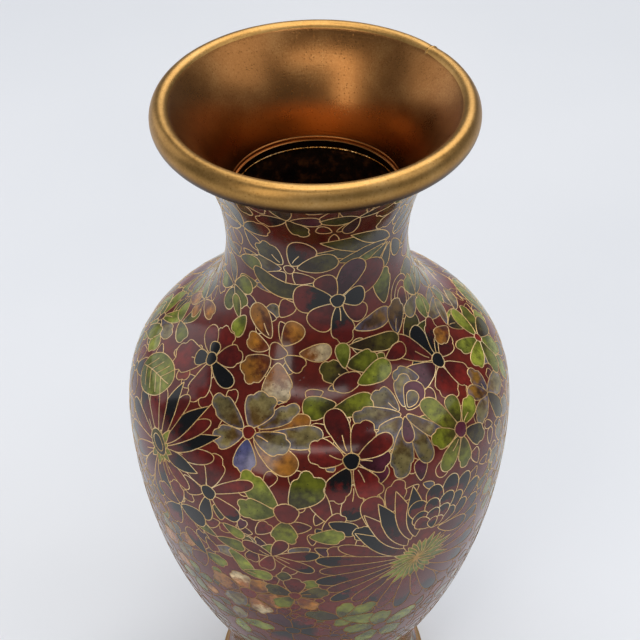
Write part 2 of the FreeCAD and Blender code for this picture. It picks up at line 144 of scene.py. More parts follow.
def newPiece(name, vertices, faces, material, slotName, stands=(), sharp=35, normals=None, marks=None):
    # a piece given its own corner normals keeps them; any other is smooth but for edges above sharp degrees
    mesh = bpy.data.meshes.new(name)
    mesh.from_pydata(vertices, [], faces)
    if not normals:
        mesh.validate()
    mesh.polygons.foreach_set("use_smooth", [True] * len(mesh.polygons))
    for mark, values in (marks or {}).items():
        mesh.attributes.new(mark, "FLOAT", "CORNER").data.foreach_set("value", values)
    if normals:
        mesh.normals_split_custom_set(normals)
    else:
        mesh.set_sharp_from_angle(angle=math.radians(sharp))
    mesh.materials.append(material)
    piece = bpy.data.objects.new(name, mesh)
    bpy.context.scene.collection.objects.link(piece)
    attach(piece, "root")
    if stands:
        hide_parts(*stands)


def around(azimuth, radius, level):
    # a point in metres; azimuth runs from the front, -Y, towards +X
    return Vector((radius * math.sin(azimuth), -radius * math.cos(azimuth), level)) * mm


def lathe(outline, steps, uneven=None):
    # a closed outline of (radius, level), turned once round the axis
    vertices, faces, n = [], [], len(outline)
    for k in range(steps):
        azimuth = 2 * math.pi * k / steps
        for radius, level in outline:
            vertices.append(around(azimuth, radius + (uneven(azimuth, level) if uneven else 0.0), level))
    for k in range(steps):
        a, b = k * n, ((k + 1) % steps) * n
        faces += [(a + j, a + (j + 1) % n, b + (j + 1) % n, b + j) for j in range(n)]
    return vertices, faces


def sweep(rings):
    # an open run of rings with the same count of points, closed by a face at each end
    n, last = len(rings[0]), (len(rings) - 1) * len(rings[0])
    faces = []
    for a in range(0, last, n):
        faces += [(a + j, a + n + j, a + n + (j + 1) % n, a + (j + 1) % n) for j in range(n)]
    faces.append(list(range(n)))
    faces.append(list(range(last, last + n))[::-1])
    return [point for ring in rings for point in ring], faces


def linear(hexColour):
    channels = [int(hexColour[i:i + 2], 16) / 255 for i in (1, 3, 5)]
    return tuple(c / 12.92 if c <= 0.04045 else ((c + 0.055) / 1.055) ** 2.4 for c in channels) + (1.0,)


def node(tree, kind, settings=None, **links):
    # settings are properties, socket values or a ramp's stops; a link is a socket's name, or _ and its number
    made = tree.nodes.new("ShaderNode" + kind)
    for key, value in (settings or {}).items():
        if key == "stops":
            band = made.color_ramp.elements
            for k, (position, hexColour) in enumerate(value):
                stop = band[k] if k < len(band) else band.new(position)
                stop.position, stop.color = position, linear(hexColour)
        elif isinstance(key, int) or key in made.inputs:
            made.inputs[key].default_value = value
        else:
            setattr(made, key, value)
    for key, source in links.items():
        socket = made.inputs[int(key[1:])] if key[0] == "_" else made.inputs[key.replace("_", " ")]
        tree.links.new(source, socket)
    return made


def emptyMaterial(name):
    material = bpy.data.materials.new(name)
    material.use_nodes = True
    material.node_tree.nodes.clear()
    return material, material.node_tree


# enamel, opaque coloured glass fired on copper, ground flush and polished: deep gloss over a mottled body
# with a few open bubbles; bubble, grain, patch and wave are their sizes in millimetres; the lipShade keys set
# painted shade under the lip
enamelLook = {"gloss": 0.11, "ior": 1.46, "bubble": 1.1, "grain": 2.6, "patch": 11.0, "wave": 9.0,
              "lipShadeFrom": 196.0, "lipShadeTo": 226.0, "lipShadeTone": 0.5, "bubbleColour": "#120a06"}
enamelColours = {
    # heart colour, tip colour, where one gives way to the other, grain, edge colour and its strength
    "oxblood": ("#6c1c0b", "#7c270f", (0.3, 0.8), 0.4, "#4a1006", 0.3),
    "brick": ("#58110a", "#701a10", (0.2, 0.8), 0.5, "#460e09", 0.4),
    "soot": ("#0a0908", "#6c170e", (0.38, 0.72), 0.3, "#3a0c08", 0.15),
    "sootTip": ("#66150b", "#0b0c0e", (0.66, 0.82), 0.3, "#4a0d08", 0.1),
    "sootLeaf": ("#52110a", "#0b0c0d", (0.2, 0.5), 0.3, "#1c0806", 0.2),
    "ochre": ("#70320a", "#b97826", (0.25, 0.75), 0.75, "#705248", 0.4),
    "cream": ("#b06824", "#e2c898", (0.3, 0.75), 0.85, "#86685a", 0.4),
    "ash": ("#664a1c", "#827446", (0.2, 0.7), 0.8, "#66647e", 0.65),
    "umber": ("#472808", "#7a5519", (0.2, 0.8), 0.8, "#5e5c74", 0.6),
    "violet": ("#4d5080", "#726e90", (0.2, 0.8), 0.75, "#585672", 0.4),
    "olive": ("#4c450a", "#767a1a", (0.15, 0.7), 0.75, "#38320c", 0.4),
    "lime": ("#666c14", "#8f9530", (0.2, 0.8), 0.7, "#525414", 0.4),
    "moss": ("#36240a", "#544c14", (0.2, 0.8), 0.75, "#2e220a", 0.4),
    "plum": ("#410e18", "#5a2232", (0.2, 0.8), 0.4, "#341220", 0.3),
    "jet": ("#070808", "#0e0f11", (0.2, 0.8), 0.2, "#0a0a0a", 0.0),
}


def enamel(name):
    start, end, (giveFrom, giveTo), grain, edge, edgeStrength = enamelColours[name]
    look = enamelLook
    material, tree = emptyMaterial(name + "PolishedEnamel")
    place = node(tree, "TexCoord").outputs["Object"]
    cloud = node(tree, "TexNoise", {"Scale": 1 / mm / look["grain"], "Detail": 6.0, "Roughness": 0.62},
                 Vector=place)
    patch = node(tree, "TexNoise", {"Scale": 1 / mm / look["patch"], "Detail": 2.0}, Vector=place)
    bubbles = node(tree, "TexVoronoi", {"Scale": 1 / mm / look["bubble"], "Randomness": 1.0}, Vector=place)
    run = node(tree, "Attribute", {"attribute_name": "petalRun"}).outputs["Fac"]
    shade = node(tree, "Attribute", {"attribute_name": "cellShade"}).outputs["Fac"]
    brink = node(tree, "Attribute", {"attribute_name": "nearWire"}).outputs["Fac"]
    # the heart's colour gives way to the tip's along the petal, unevenly
    drift = node(tree, "MapRange", {"From Min": 0.3, "From Max": 0.7, "To Min": -0.22, "To Max": 0.22},
                 Value=cloud.outputs["Fac"])
    along = node(tree, "Math", {"operation": "ADD"}, _0=run, _1=drift.outputs["Result"])
    giving = node(tree, "MapRange",
                  {"interpolation_type": "SMOOTHSTEP", "From Min": giveFrom, "From Max": giveTo},
                  Value=along.outputs[0])
    base = node(tree, "Mix", {"data_type": "RGBA", 6: linear(start), 7: linear(end)},
                _0=giving.outputs["Result"])
    # colour burns towards another beside the wires
    brinkPart = node(tree, "Math", {"operation": "MULTIPLY", 1: edgeStrength}, _0=brink)
    edged = node(tree, "Mix", {"data_type": "RGBA", 7: linear(edge)}, _0=brinkPart.outputs[0],
                 _6=base.outputs[2])
    # lighter and darker with the grain, from cell to cell and over broad patches
    dusk = node(tree, "MapRange", {"From Min": 0.32, "From Max": 0.68, "To Min": 1 - 0.6 * grain,
                                   "To Max": 1 + 0.45 * grain}, Value=cloud.outputs["Fac"])
    cellTone = node(tree, "MapRange", {"To Min": 0.68, "To Max": 1.10}, Value=shade)
    tone = node(tree, "Math", {"operation": "MULTIPLY"}, _0=dusk.outputs["Result"],
                _1=cellTone.outputs["Result"])
    broad = node(tree, "MapRange", {"From Min": 0.35, "From Max": 0.65, "To Min": 0.78, "To Max": 1.2},
                 Value=patch.outputs["Fac"])
    toned = node(tree, "Math", {"operation": "MULTIPLY"}, _0=tone.outputs[0], _1=broad.outputs["Result"])
    # painted shade: darker on the neck under the lip, where the lip's shadow falls
    level = node(tree, "SeparateXYZ", None, Vector=place).outputs["Z"]
    lipShade = node(tree, "MapRange",
                 {"interpolation_type": "SMOOTHSTEP", "From Min": look["lipShadeFrom"] * mm,
                  "From Max": look["lipShadeTo"] * mm, "To Min": 1.0, "To Max": look["lipShadeTone"]},
                 Value=level)
    lipShaded = node(tree, "Math", {"operation": "MULTIPLY"}, _0=toned.outputs[0], _1=lipShade.outputs["Result"])
    colour = node(tree, "VectorMath", {"operation": "SCALE"}, Vector=edged.outputs[2],
                  Scale=lipShaded.outputs[0])
    # bubbles that the grinding opened: small dark pits, more of them in the grainy colours
    pit = node(tree, "MapRange", {"From Min": 0.10, "From Max": 0.24, "To Min": 1.0, "To Max": 0.0},
               Value=bubbles.outputs["Distance"])
    pick = node(tree, "SeparateColor", None, Color=bubbles.outputs["Color"])
    rare = node(tree, "Math", {"operation": "GREATER_THAN", 1: 0.86 - 0.3 * grain}, _0=pick.outputs[0])
    pitted = node(tree, "Math", {"operation": "MULTIPLY"}, _0=pit.outputs["Result"], _1=rare.outputs[0])
    weak = node(tree, "Math", {"operation": "MULTIPLY", 1: 0.75}, _0=pitted.outputs[0])
    final = node(tree, "Mix", {"data_type": "RGBA", 7: linear(look["bubbleColour"])}, _0=weak.outputs[0],
                 _6=colour.outputs[0])
    wave = node(tree, "TexNoise", {"Scale": 1 / mm / look["wave"], "Detail": 1.0}, Vector=place)
    polish = node(tree, "Bump", {"Strength": 0.12, "Distance": 0.4 * mm}, Height=wave.outputs["Fac"])
    pored = node(tree, "Bump", {"Strength": 0.35, "Distance": 0.06 * mm, "invert": True},
                 Height=pitted.outputs[0], Normal=polish.outputs["Normal"])
    worn = node(tree, "MapRange", {"To Min": look["gloss"] - 0.03, "To Max": look["gloss"] + 0.08},
                Value=patch.outputs["Fac"])
    shader = node(tree, "BsdfPrincipled", {"IOR": look["ior"]}, Base_Color=final.outputs[2],
                  Roughness=worn.outputs["Result"], Normal=pored.outputs["Normal"])
    node(tree, "OutputMaterial", None, Surface=shader.outputs["BSDF"])
    return material


# tones run from worn and dark to rubbed and bright, and mottle spreads them; grain and pits are millimetres;
# turned is the pull of the lathe marks; lowPaintedLight is a tone painted in below the first level and faded
# out by the second: painted shade on the wire and lip, painted bounce light in the trumpet
metals = {
    # copper wire, drawn flat, gilded and ground flush: a bright line with soft edges, with painted shade
    # dulling it low down
    "gildedDrawnWire": {"tones": ("#b48c50", "#e8c284", "#fbe8bc"), "roughness": (0.34, 0.5), "grain": 0.9,
                        "lowPaintedLight": ("#936a38", 92.0, 152.0)},
    # brass, rolled to a hoop and wiped for years: satin, bright where hands rub it, with painted shade
    # browning its underside
    "wipedRolledBrass": {"tones": ("#886230", "#b0874c", "#c8a268"), "roughness": (0.33, 0.44), "grain": 0.8,
                         "pits": 1.0, "pitDepth": 0.02, "mottle": 0.6, "lowPaintedLight": ("#341c08", 248.3, 251.6)},
    # brass, cast and turned inside: browner, open-grained, with a highlight drawn out across the lathe marks,
    # and painted bounce light lifting its lower part
    "turnedCastBrass": {"tones": ("#66421c", "#99683a", "#c6965c"), "roughness": (0.25, 0.34), "grain": 0.55,
                        "pits": 0.75, "pitDepth": 0.05, "turned": 0.6, "mottle": 0.45,
                        "lowPaintedLight": ("#a46e3c", 221.0, 248.0)},
    # brass, turned outside and handled little: darker, with fine rings
    "turnedFootBrass": {"tones": ("#6f4a1c", "#a47a3c", "#c79c5a"), "roughness": (0.26, 0.42), "grain": 0.8,
                        "pits": 1.1, "pitDepth": 0.03, "turned": 0.5, "mottle": 0.8},
    # silver brazing metal, melted and left as it ran: bright and ragged
    "runBrazingMetal": {"tones": ("#8a5a1c", "#d9ae62", "#fbe4ad"), "roughness": (0.18, 0.34), "grain": 0.4},
    # copper, spun to shape and browned by the kiln: dull red-brown
    "firedSpunCopper": {"tones": ("#4d1f10", "#7d3a20", "#a2583a"), "roughness": (0.35, 0.55), "grain": 1.2},
}
cloudMm = 14.0  # broad clouds of tarnish
latheMarkMm = 0.45  # real lathe marks are about 0.1 mm apart, too fine to show, so they are drawn coarser


def metal(name):
    look = metals[name]
    worn, body, rubbed = look["tones"]
    turned, spread = look.get("turned", 0.0), 0.16 / look.get("mottle", 1.0)
    material, tree = emptyMaterial(name)
    place = node(tree, "TexCoord").outputs["Object"]
    cloud = node(tree, "TexNoise", {"Scale": 1 / mm / cloudMm, "Detail": 5.0, "Roughness": 0.6}, Vector=place)
    grain = node(tree, "TexNoise", {"Scale": 1 / mm / look["grain"], "Detail": 4.0, "Roughness": 0.7},
                 Vector=place)
    fine = node(tree, "Math", {"operation": "MULTIPLY", 1: 0.45}, _0=grain.outputs["Fac"])
    total = node(tree, "Math", {"operation": "MULTIPLY_ADD", 1: 0.55}, _0=cloud.outputs["Fac"],
                 _2=fine.outputs[0])
    tone = node(tree, "ValToRGB", {"stops": [(0.5 - spread, worn), (0.5, body), (0.5 + spread, rubbed)]},
                Fac=total.outputs[0])
    colour = tone.outputs["Color"]
    level = node(tree, "SeparateXYZ", None, Vector=place).outputs["Z"]
    # painted light low down: shade on the lower wires and the lip's underside, bounce light in the trumpet's
    # lower part
    if "lowPaintedLight" in look:
        paintedTone, low, high = look["lowPaintedLight"]
        paintedFade = node(tree, "MapRange",
                    {"interpolation_type": "SMOOTHSTEP", "From Min": low * mm, "From Max": high * mm,
                     "To Min": 1.0, "To Max": 0.0}, Value=level)
        colour = node(tree, "Mix", {"data_type": "RGBA", 7: linear(paintedTone)}, _0=paintedFade.outputs["Result"],
                      _6=colour).outputs[2]
    rough = node(tree, "MapRange", {"From Min": 0.3, "From Max": 0.7, "To Min": look["roughness"][0],
                                    "To Max": look["roughness"][1]}, Value=total.outputs[0])
    normal = node(tree, "Bump", {"Strength": 0.25, "Distance": 0.05 * mm}, Height=grain.outputs["Fac"])
    if turned:
        # lathe marks run round the axis, so they only change with the level
        rings = node(tree, "Math", {"operation": "MULTIPLY", 1: 1 / mm / latheMarkMm}, _0=level)
        ring = node(tree, "TexNoise", {"noise_dimensions": "1D", "Scale": 1.0, "Detail": 3.0},
                    W=rings.outputs[0])
        normal = node(tree, "Bump", {"Strength": 0.22, "Distance": 0.04 * mm}, Height=ring.outputs["Fac"],
                      Normal=normal.outputs["Normal"])
    if "pits" in look:
        cells = node(tree, "TexVoronoi", {"Scale": 1 / mm / look["pits"]}, Vector=place)
        pit = node(tree, "MapRange", {"From Min": 0.12, "From Max": 0.30, "To Min": 1.0, "To Max": 0.0},
                   Value=cells.outputs["Distance"])
        pick = node(tree, "SeparateColor", None, Color=cells.outputs["Color"])
        chosen = node(tree, "Math", {"operation": "GREATER_THAN", 1: 0.55}, _0=pick.outputs[0])
        pits = node(tree, "Math", {"operation": "MULTIPLY"}, _0=pit.outputs["Result"], _1=chosen.outputs[0])
        soft = node(tree, "Math", {"operation": "MULTIPLY", 1: 0.6}, _0=pits.outputs[0])
        colour = node(tree, "Mix", {"data_type": "RGBA", 7: linear(worn)}, _0=soft.outputs[0],
                      _6=colour).outputs[2]
        normal = node(tree, "Bump", {"Strength": 0.5, "Distance": look["pitDepth"] * mm, "invert": True},
                      Height=pits.outputs[0], Normal=normal.outputs["Normal"])
    shader = node(tree, "BsdfPrincipled", {"Metallic": 1.0, "Anisotropic": turned}, Base_Color=colour,
                  Roughness=rough.outputs["Result"], Normal=normal.outputs["Normal"])
    if turned:
        drawn = node(tree, "Tangent", {"direction_type": "RADIAL", "axis": "Z"})
        tree.links.new(drawn.outputs["Tangent"], shader.inputs["Tangent"])
    node(tree, "OutputMaterial", None, Surface=shader.outputs["BSDF"])
    return material


# enamel, the coat inside and underneath, fired once and never ground: brown-black, crawled, half shiny
darkLook = {"tones": ("#070504", "#1c0f08", "#4a2c14"), "crawl": 3.2, "depth": 0.3, "roughness": 0.34,
            "ior": 1.5}


def darkEnamel(look):
    material, tree = emptyMaterial("darkUngroundEnamel")
    place = node(tree, "TexCoord").outputs["Object"]
    spots = node(tree, "TexNoise", {"Scale": 1 / mm / look["crawl"], "Detail": 5.0, "Roughness": 0.65},
                 Vector=place)
    tone = node(tree, "ValToRGB", {"stops": list(zip((0.36, 0.52, 0.66), look["tones"]))},
                Fac=spots.outputs["Fac"])
    crawl = node(tree, "Bump", {"Strength": 0.5, "Distance": look["depth"] * mm}, Height=spots.outputs["Fac"])
    shader = node(tree, "BsdfPrincipled", {"Roughness": look["roughness"], "IOR": look["ior"]},
                  Base_Color=tone.outputs["Color"], Normal=crawl.outputs["Normal"])
    node(tree, "OutputMaterial", None, Surface=shader.outputs["BSDF"])
    return material


print("materials")
enamels = {name: enamel(name) for name in enamelColours}
metalFinishes = {name: metal(name) for name in metals}
darkCoat = darkEnamel(darkLook)

# the motifs, laid out as the wires were bent; at is the azimuth in degrees from the front and the level
# a petal is (direction, gap, length, width, outline, colour, bend); direction 0 is to the right and 90 is up
motifs = [
    # neck, leaves that lie under the flowers
    {"at": (48, 220), "petals": [
        (176, 1, 24, 5.5, "leaf", "moss", 0), (163, 1, 24, 6.5, "leaf", "moss", 8),
        (148, 1, 17, 5, "leaf", "moss", 10), (190, 2, 16, 5, "leaf", "moss", 0),
        (205, 3, 10, 4.6, "egg", "olive", 0), (226, 2, 11, 5, "egg", "olive", 0),
        (262, 2, 9, 4.5, "egg", "moss", 0), (300, 2, 9, 5, "egg", "moss", 0),
        (20, 1, 12, 5, "leaf", "ash", 0), (60, 1, 12, 5, "leaf", "moss", 0)]},
    {"at": (20, 236), "petals": [
        (180, 0, 12, 5, "leaf", "moss", 0), (20, 0, 12, 5, "egg", "soot", 0),
        (250, 0, 8, 5, "egg", "plum", 0)]},
    {"at": (-14, 236), "petals": [
        (200, 0, 10, 7, "lobe", "soot", 0), (300, 0, 9, 7, "lobe", "moss", 0),
        (100, 0, 9, 8, "lobe", "soot", 0), (0, 1, 9, 6, "lobe", "plum", 0)]},
    {"at": (-44, 226), "petals": [
        (20, 0, 11, 7, "lobe", "soot", 0), (100, 0, 11, 7, "egg", "moss", 0),
        (200, 1, 10, 6, "egg", "brick", 0), (300, 1, 8, 6, "egg", "plum", 0)]},
    {"at": (43, 201), "petals": [(90, -4, 12, 8.5, "lobe", "olive", 0)]},
    {"at": (58, 195), "petals": [
        (80, -7, 14, 11, "round", "brick", 0), (80, -5.4, 10.4, 7.5, "round", "oxblood", 0),
        (80, -3.8, 6.8, 4.4, "round", "brick", 0)]},
    {"at": (-17, 214), "petals": [
        (62, 2, 11, 10, "egg", "soot", 0), (138, 2.5, 10, 9.5, "lobe", "moss", 0),
        (184, 2.5, 10.5, 7.5, "lobe", "ash", 0), (228, 2, 9, 8, "egg", "plum", 0),
        (18, 2.5, 12.5, 8, "egg", "moss", 0),
        (318, 1.5, 8, 7, "egg", "brick", 0)], "heart": ("brick", 1.6)},
    {"at": (-34, 206), "petals": [(20, -4, 10, 7, "lobe", "ash", 0), (200, 3, 8, 6, "lobe", "olive", 0)]},
    {"at": (-52, 211), "petals": [(12, -1, 9, 6.5, "egg", "olive", 0), (170, 1, 9, 5, "egg", "ash", 0)]},
    {"at": (3, 210), "petals": [(222, 0, 24, 6.5, "strap", "moss", -95)]},
    {"at": (-60, 199), "petals": [
        (30, 0, 9, 6.5, "egg", "olive", 0), (110, 1, 9, 6, "egg", "ash", 0),
        (330, 0, 8, 6, "lobe", "olive", 0), (200, 1, 9, 6, "lobe", "olive", 0),
        (260, 1, 8, 6, "egg", "olive", 0)]},
    {"at": (-47, 190), "petals": [
        (250, -3.5, 8, 6, "lobe", "lime", 0), (130, 2, 7, 4.5, "egg", "olive", 0)]},
    # neck, red and black flower
    {"at": (12, 203), "petals": [
        (28, 1.5, 16, 13, "egg", "brick", 20), (72, 1.5, 14, 9, "egg", "plum", -20),
        (118, 1.5, 9, 8, "egg", "brick", 0), (172, 1.2, 12, 11, "egg", "soot", 0),
        (226, 1.5, 10, 9.5, "egg", "brick", 0), (276, 1.2, 13, 8.5, "lobe", "soot", 0),
        (322, 2, 9, 7, "egg", "brick", 0), (4, 1, 7.5, 7.5, "egg", "jet", 0)], "heart": ("jet", 2.2)},
    {"at": (33, 193.5), "petals": [(2, -6.5, 13, 7, "egg", "umber", 0)]},
    {"at": (48, 191), "petals": [(70, -5, 11, 8.5, "lobe", "umber", 0)]},
    {"at": (54, 185), "petals": [(40, -6, 12, 8, "egg", "moss", 0)]},
    {"at": (72, 191), "petals": [
        (10, 0, 11, 5, "egg", "olive", 0), (190, 0, 9, 6, "egg", "ash", 0),
        (290, 0, 9, 6, "egg", "lime", 0), (110, 0, 9, 6, "lobe", "olive", 0)]},
    {"at": (70, 183), "petals": [
        (180, 0.5, 9, 6, "lobe", "olive", 0), (350, 0.5, 12, 6, "egg", "ash", 0),
        (80, 0.5, 8, 6, "lobe", "lime", 0)]},
    # orange and cream flower
    {"at": (-21, 187), "petals": [
        (131, 4.5, 11, 8.2, "egg", "ochre", 0), (62, 2.5, 8.5, 7.8, "egg", "ochre", 0),
        (174, 3, 8, 7, "lobe", "ochre", 0), (4, 6.5, 9.5, 6.2, "egg", "cream", 0),
        (225, 3, 11.5, 10, "lobe", "ochre", 0), (282, 3.5, 12, 11.5, "lobe", "cream", 0),
        (338, 2.5, 7, 6, "lobe", "brick", 0), (180, -3, 6, 6, "lobe", "oxblood", 0)]},
    # left red flower with a black heart
    {"at": (-54, 178), "petals": [
        (84, 1.5, 10, 10, "lobe", "brick", 0), (38, 1.5, 10, 8.5, "lobe", "brick", 0),
        (135, 1.5, 9, 8, "egg", "brick", 0), (212, 2, 15, 12, "lobe", "brick", 0),
        (288, 1.5, 13, 9, "lobe", "brick", 0), (208, 0.5, 6.5, 6, "egg", "jet", 0),
        (345, 0.5, 12, 6, "egg", "jet", 0), (110, 0.5, 5, 5, "egg", "jet", 0)], "heart": ("jet", 2.1)},
    # small leaves round the veined one
    {"at": (-86, 175), "petals": [
        (0, -1, 10, 6, "lobe", "olive", 0), (170, 1, 8, 6, "lobe", "lime", 0),
        (75, 1, 9, 6.5, "egg", "olive", 0)]},
    {"at": (-87, 169), "petals": [(350, -4, 10, 6.5, "lobe", "lime", 0)]},
    {"at": (-97, 165), "petals": [
        (40, 0.5, 11, 7.5, "lobe", "olive", 0), (150, 0.5, 10, 7, "lobe", "olive", 0),
        (255, 0.5, 10, 7, "lobe", "lime", 0), (320, 0.5, 9, 6, "egg", "moss", 0)], "heart": ("brick", 1.8)},
    {"at": (-86, 184), "petals": [
        (10, 0.5, 10, 6.5, "lobe", "ochre", 0), (100, 0.5, 9, 7, "egg", "moss", 0),
        (180, 0.5, 9, 6, "egg", "olive", 0), (270, 0.5, 7, 6, "lobe", "ochre", 0)]},
    # right hand red and black flower
    {"at": (58, 175.5), "petals": [
        (96, 1.5, 12, 8, "egg", "jet", 0), (52, 1.5, 12, 8.5, "lobe", "soot", 0),
        (160, 1.2, 9, 6.5, "egg", "jet", 0), (178, 2, 14, 10, "egg", "plum", 0),
        (236, 2, 11, 10, "lobe", "brick", 0), (292, 2, 12, 9.5, "lobe", "brick", 0),
        (8, 2, 10, 8.5, "lobe", "brick", 0), (128, 2, 16, 9, "egg", "brick", 0)], "heart": ("jet", 2.4)},
    {"at": (78, 177), "petals": [
        (170, 0.5, 9, 7, "lobe", "ochre", 0), (40, 0.5, 9, 6, "egg", "ash", 0),
        (330, 0.5, 10, 7, "lobe", "moss", 0)]},
    {"at": (83, 170), "petals": [
        (150, 1, 11, 6.5, "lobe", "lime", 0), (190, 1, 12, 6.5, "lobe", "lime", 0),
        (238, 1, 12, 8, "lobe", "olive", 0), (290, 1, 10, 8, "lobe", "lime", 0),
        (20, 1, 12, 7, "lobe", "olive", 0), (60, 1, 11, 7, "egg", "lime", 0),
        (345, 1, 11, 7, "egg", "moss", 0)], "heart": ("brick", 1.6)},
    {"at": (65, 163), "petals": [
        (90, -1, 11, 7, "lobe", "umber", 0), (200, 0, 11, 7, "lobe", "ash", 0),
        (345, 0, 12, 8, "lobe", "ash", 0), (285, 0, 12, 8, "lobe", "moss", 0),
        (140, 0, 9, 6, "egg", "umber", 0)]},
    # green foliage between the flowers
    {"at": (30, 187.5), "petals": [(350, -8, 17, 6.2, "egg", "moss", 0)]},
    {"at": (20, 184), "petals": [(0, -4, 10, 8, "lobe", "olive", 0)]},
    {"at": (8, 182.5), "petals": [(150, -5, 10, 8.5, "lobe", "moss", 0)]},
    {"at": (12.5, 186), "petals": [(92, -3, 7.5, 5.5, "egg", "lime", 0)]},
    {"at": (40, 183), "petals": [(5, -4, 8, 6, "egg", "brick", 0)]},
    {"at": (12, 180), "petals": [(15, -4, 9, 5.5, "round", "brick", 0)]},
    {"at": (26, 180.5), "petals": [(15, -6, 12, 7.4, "egg", "lime", 0)]},
    {"at": (0, 175.5), "petals": [(190, -5, 10, 8.5, "egg", "olive", 0)]},
    {"at": (13, 175), "petals": [(8, -7, 14, 7.8, "egg", "olive", 0)]},
    {"at": (40, 177), "petals": [(150, -4, 9, 7, "lobe", "ash", 0)]},
    # grey bell flower
    {"at": (31, 171.5), "petals": [
        (122, 1.5, 9.5, 9, "lobe", "ash", 0), (60, 2, 10, 8, "lobe", "ash", 0),
        (25, 1.5, 9.5, 9, "egg", "plum", 30), (30, 2.5, 5.5, 5, "egg", "ash", 20),
        (170, 1, 14.5, 8.5, "lobe", "ash", 0), (212, 1.5, 11.5, 9.5, "lobe", "ash", 0),
        (243, 3.5, 16.5, 9, "lobe", "ash", 0), (278, 3, 14, 7, "egg", "ash", 0),
        (255, 1, 8, 4.5, "egg", "plum", 0), (303, 1, 18, 5, "strap", "ash", 25)]},
    # olive flower with a plum heart
    {"at": (47.5, 162), "petals": [
        (78, 2, 9, 6.5, "egg", "olive", 0), (26, 2, 9.5, 7, "lobe", "lime", 0),
        (128, 2, 14, 7.5, "strap", "olive", -35), (172, 2, 9.5, 7.5, "lobe", "olive", 0),
        (216, 2, 12, 7, "egg", "olive", 0), (262, 2.2, 10.5, 7, "lobe", "olive", 0),
        (318, 2, 10, 7.5, "lobe", "moss", 0)], "heart": ("plum", 2.5)},
    # broad grey, ochre and violet flower
    {"at": (-24, 169.5), "petals": [
        (22, 3, 15, 7.5, "egg", "ochre", 0), (40, 3, 13, 7, "lobe", "ash", 0),
        (84, 1.5, 11.5, 12, "lobe", "ash", 0), (158, 2, 14, 8, "lobe", "ash", 0),
        (206, 1.5, 10.5, 8.5, "lobe", "ash", 0), (4, 5, 17, 9, "egg", "ash", 0),
        (330, 2.5, 16.5, 8.5, "egg", "ochre", 0), (277, 2, 10.5, 8.5, "lobe", "violet", 0),
        (350, 1.5, 12, 8.5, "lobe", "ash", 0)], "heart": ("brick", 2.0)},
    # red flower with a black heart
    {"at": (9.5, 165), "petals": [
        (268, 7, 13, 8.5, "egg", "sootTip", 0), (104, 2, 14.5, 8, "egg", "brick", 0),
        (58, 2, 11, 9, "lobe", "brick", 0), (158, 2, 11, 10.5, "lobe", "brick", 0),
        (238, 2, 12.5, 10, "lobe", "soot", 0), (296, 2, 13, 9.5, "lobe", "brick", 0),
        (352, 2, 10, 9, "lobe", "plum", 0), (20, 2, 12, 7, "egg", "brick", 0)], "heart": ("jet", 2.5)},
    {"at": (-4, 163), "petals": [(288, 0, 21, 6, "leaf", "brick", 12)]},
    {"at": (3, 146), "petals": [(40, -4, 9, 6, "lobe", "brick", 0), (330, -1, 10, 6.5, "egg", "jet", 0)]},
    {"at": (14.5, 148), "petals": [(90, -6.5, 13, 9, "egg", "brick", 0)]},
    {"at": (21, 152), "petals": [(70, -6, 12, 8.5, "lobe", "brick", 0)]},
    {"at": (13, 140), "petals": [(160, -4, 9, 7, "lobe", "jet", 0), (20, 2, 9, 6, "lobe", "brick", 0)]},
    # green flower with a red heart
    {"at": (-9.5, 149.5), "petals": [
        (142, 3, 15.5, 10.5, "lobe", "lime", 0), (56, 2.5, 14, 13, "lobe", "olive", 0),
        (184, 3, 12.5, 10, "lobe", "lime", 0),
        (268, 3, 10, 10, "lobe", "olive", 0)], "heart": ("brick", 3.8)},
    {"at": (1.5, 140.5), "petals": [(0, -5, 10.5, 8, "lobe", "lime", 0)]},
    # small heart petalled flower
    {"at": (-33, 149.5), "petals": [
        (82, 2, 12, 8.5, "lobe", "brick", 0), (132, 2, 11, 10, "lobe", "brick", 0),
        (40, 1, 16, 4.5, "strap", "brick", -20), (330, 1.5, 11, 7, "egg", "sootTip", 0),
        (262, 1.5, 11, 6, "egg", "jet", 0), (190, 1.5, 10, 8, "lobe", "brick", 0)], "heart": ("jet", 2.6)},
    # left black-tipped chrysanthemum
    {"at": (-53, 154), "petals": [
        (20, 2, 20, 6, "egg", "brick", 0), (36, 2, 22, 5.5, "leaf", "sootLeaf", 0),
        (52, 2, 20, 6, "egg", "brick", 0), (66, 2, 21, 6, "leaf", "sootLeaf", 0),
        (84, 2, 18, 6, "egg", "brick", 0), (100, 2, 20, 6, "leaf", "sootLeaf", 0),
        (118, 2, 16, 6, "egg", "brick", 0), (134, 2, 18, 6, "egg", "sootTip", 0),
        (154, 2, 18, 6, "egg", "sootTip", 0), (176, 2, 20, 6.5, "egg", "sootTip", 0),
        (198, 2, 20, 6.5, "egg", "sootTip", 0), (220, 2, 18, 6.5, "egg", "sootTip", 0),
        (244, 2, 17, 6.5, "egg", "brick", 0), (268, 2, 19, 6.5, "egg", "sootTip", 0),
        (288, 2, 19, 6.5, "leaf", "sootLeaf", 0), (308, 2, 17, 6, "egg", "sootTip", 0),
        (330, 2, 14, 5.5, "egg", "brick", 0),
        (0, 2, 15, 5, "leaf", "sootLeaf", 0)], "calyx": ("olive", 5.5, 11)},
    {"at": (-54, 154.5), "petals": [
        (150, -4, 9, 7, "round", "moss", 0), (150, -2.6, 6, 4, "round", "jet", 0)]},
    # round veined leaf
    {"at": (-71, 167), "petals": [(20, -8.5, 18, 14, "round", "lime", 0)], "veins": True},
    # large black-tipped chrysanthemum
    {"at": (28, 122), "petals": [
        (150, 2, 27, 5.5, "strap", "brick", 6), (162, 2, 31, 6, "strap", "sootTip", 8),
        (174, 2, 29, 5.5, "strap", "brick", 6), (185, 2, 30, 6, "strap", "sootTip", 0),
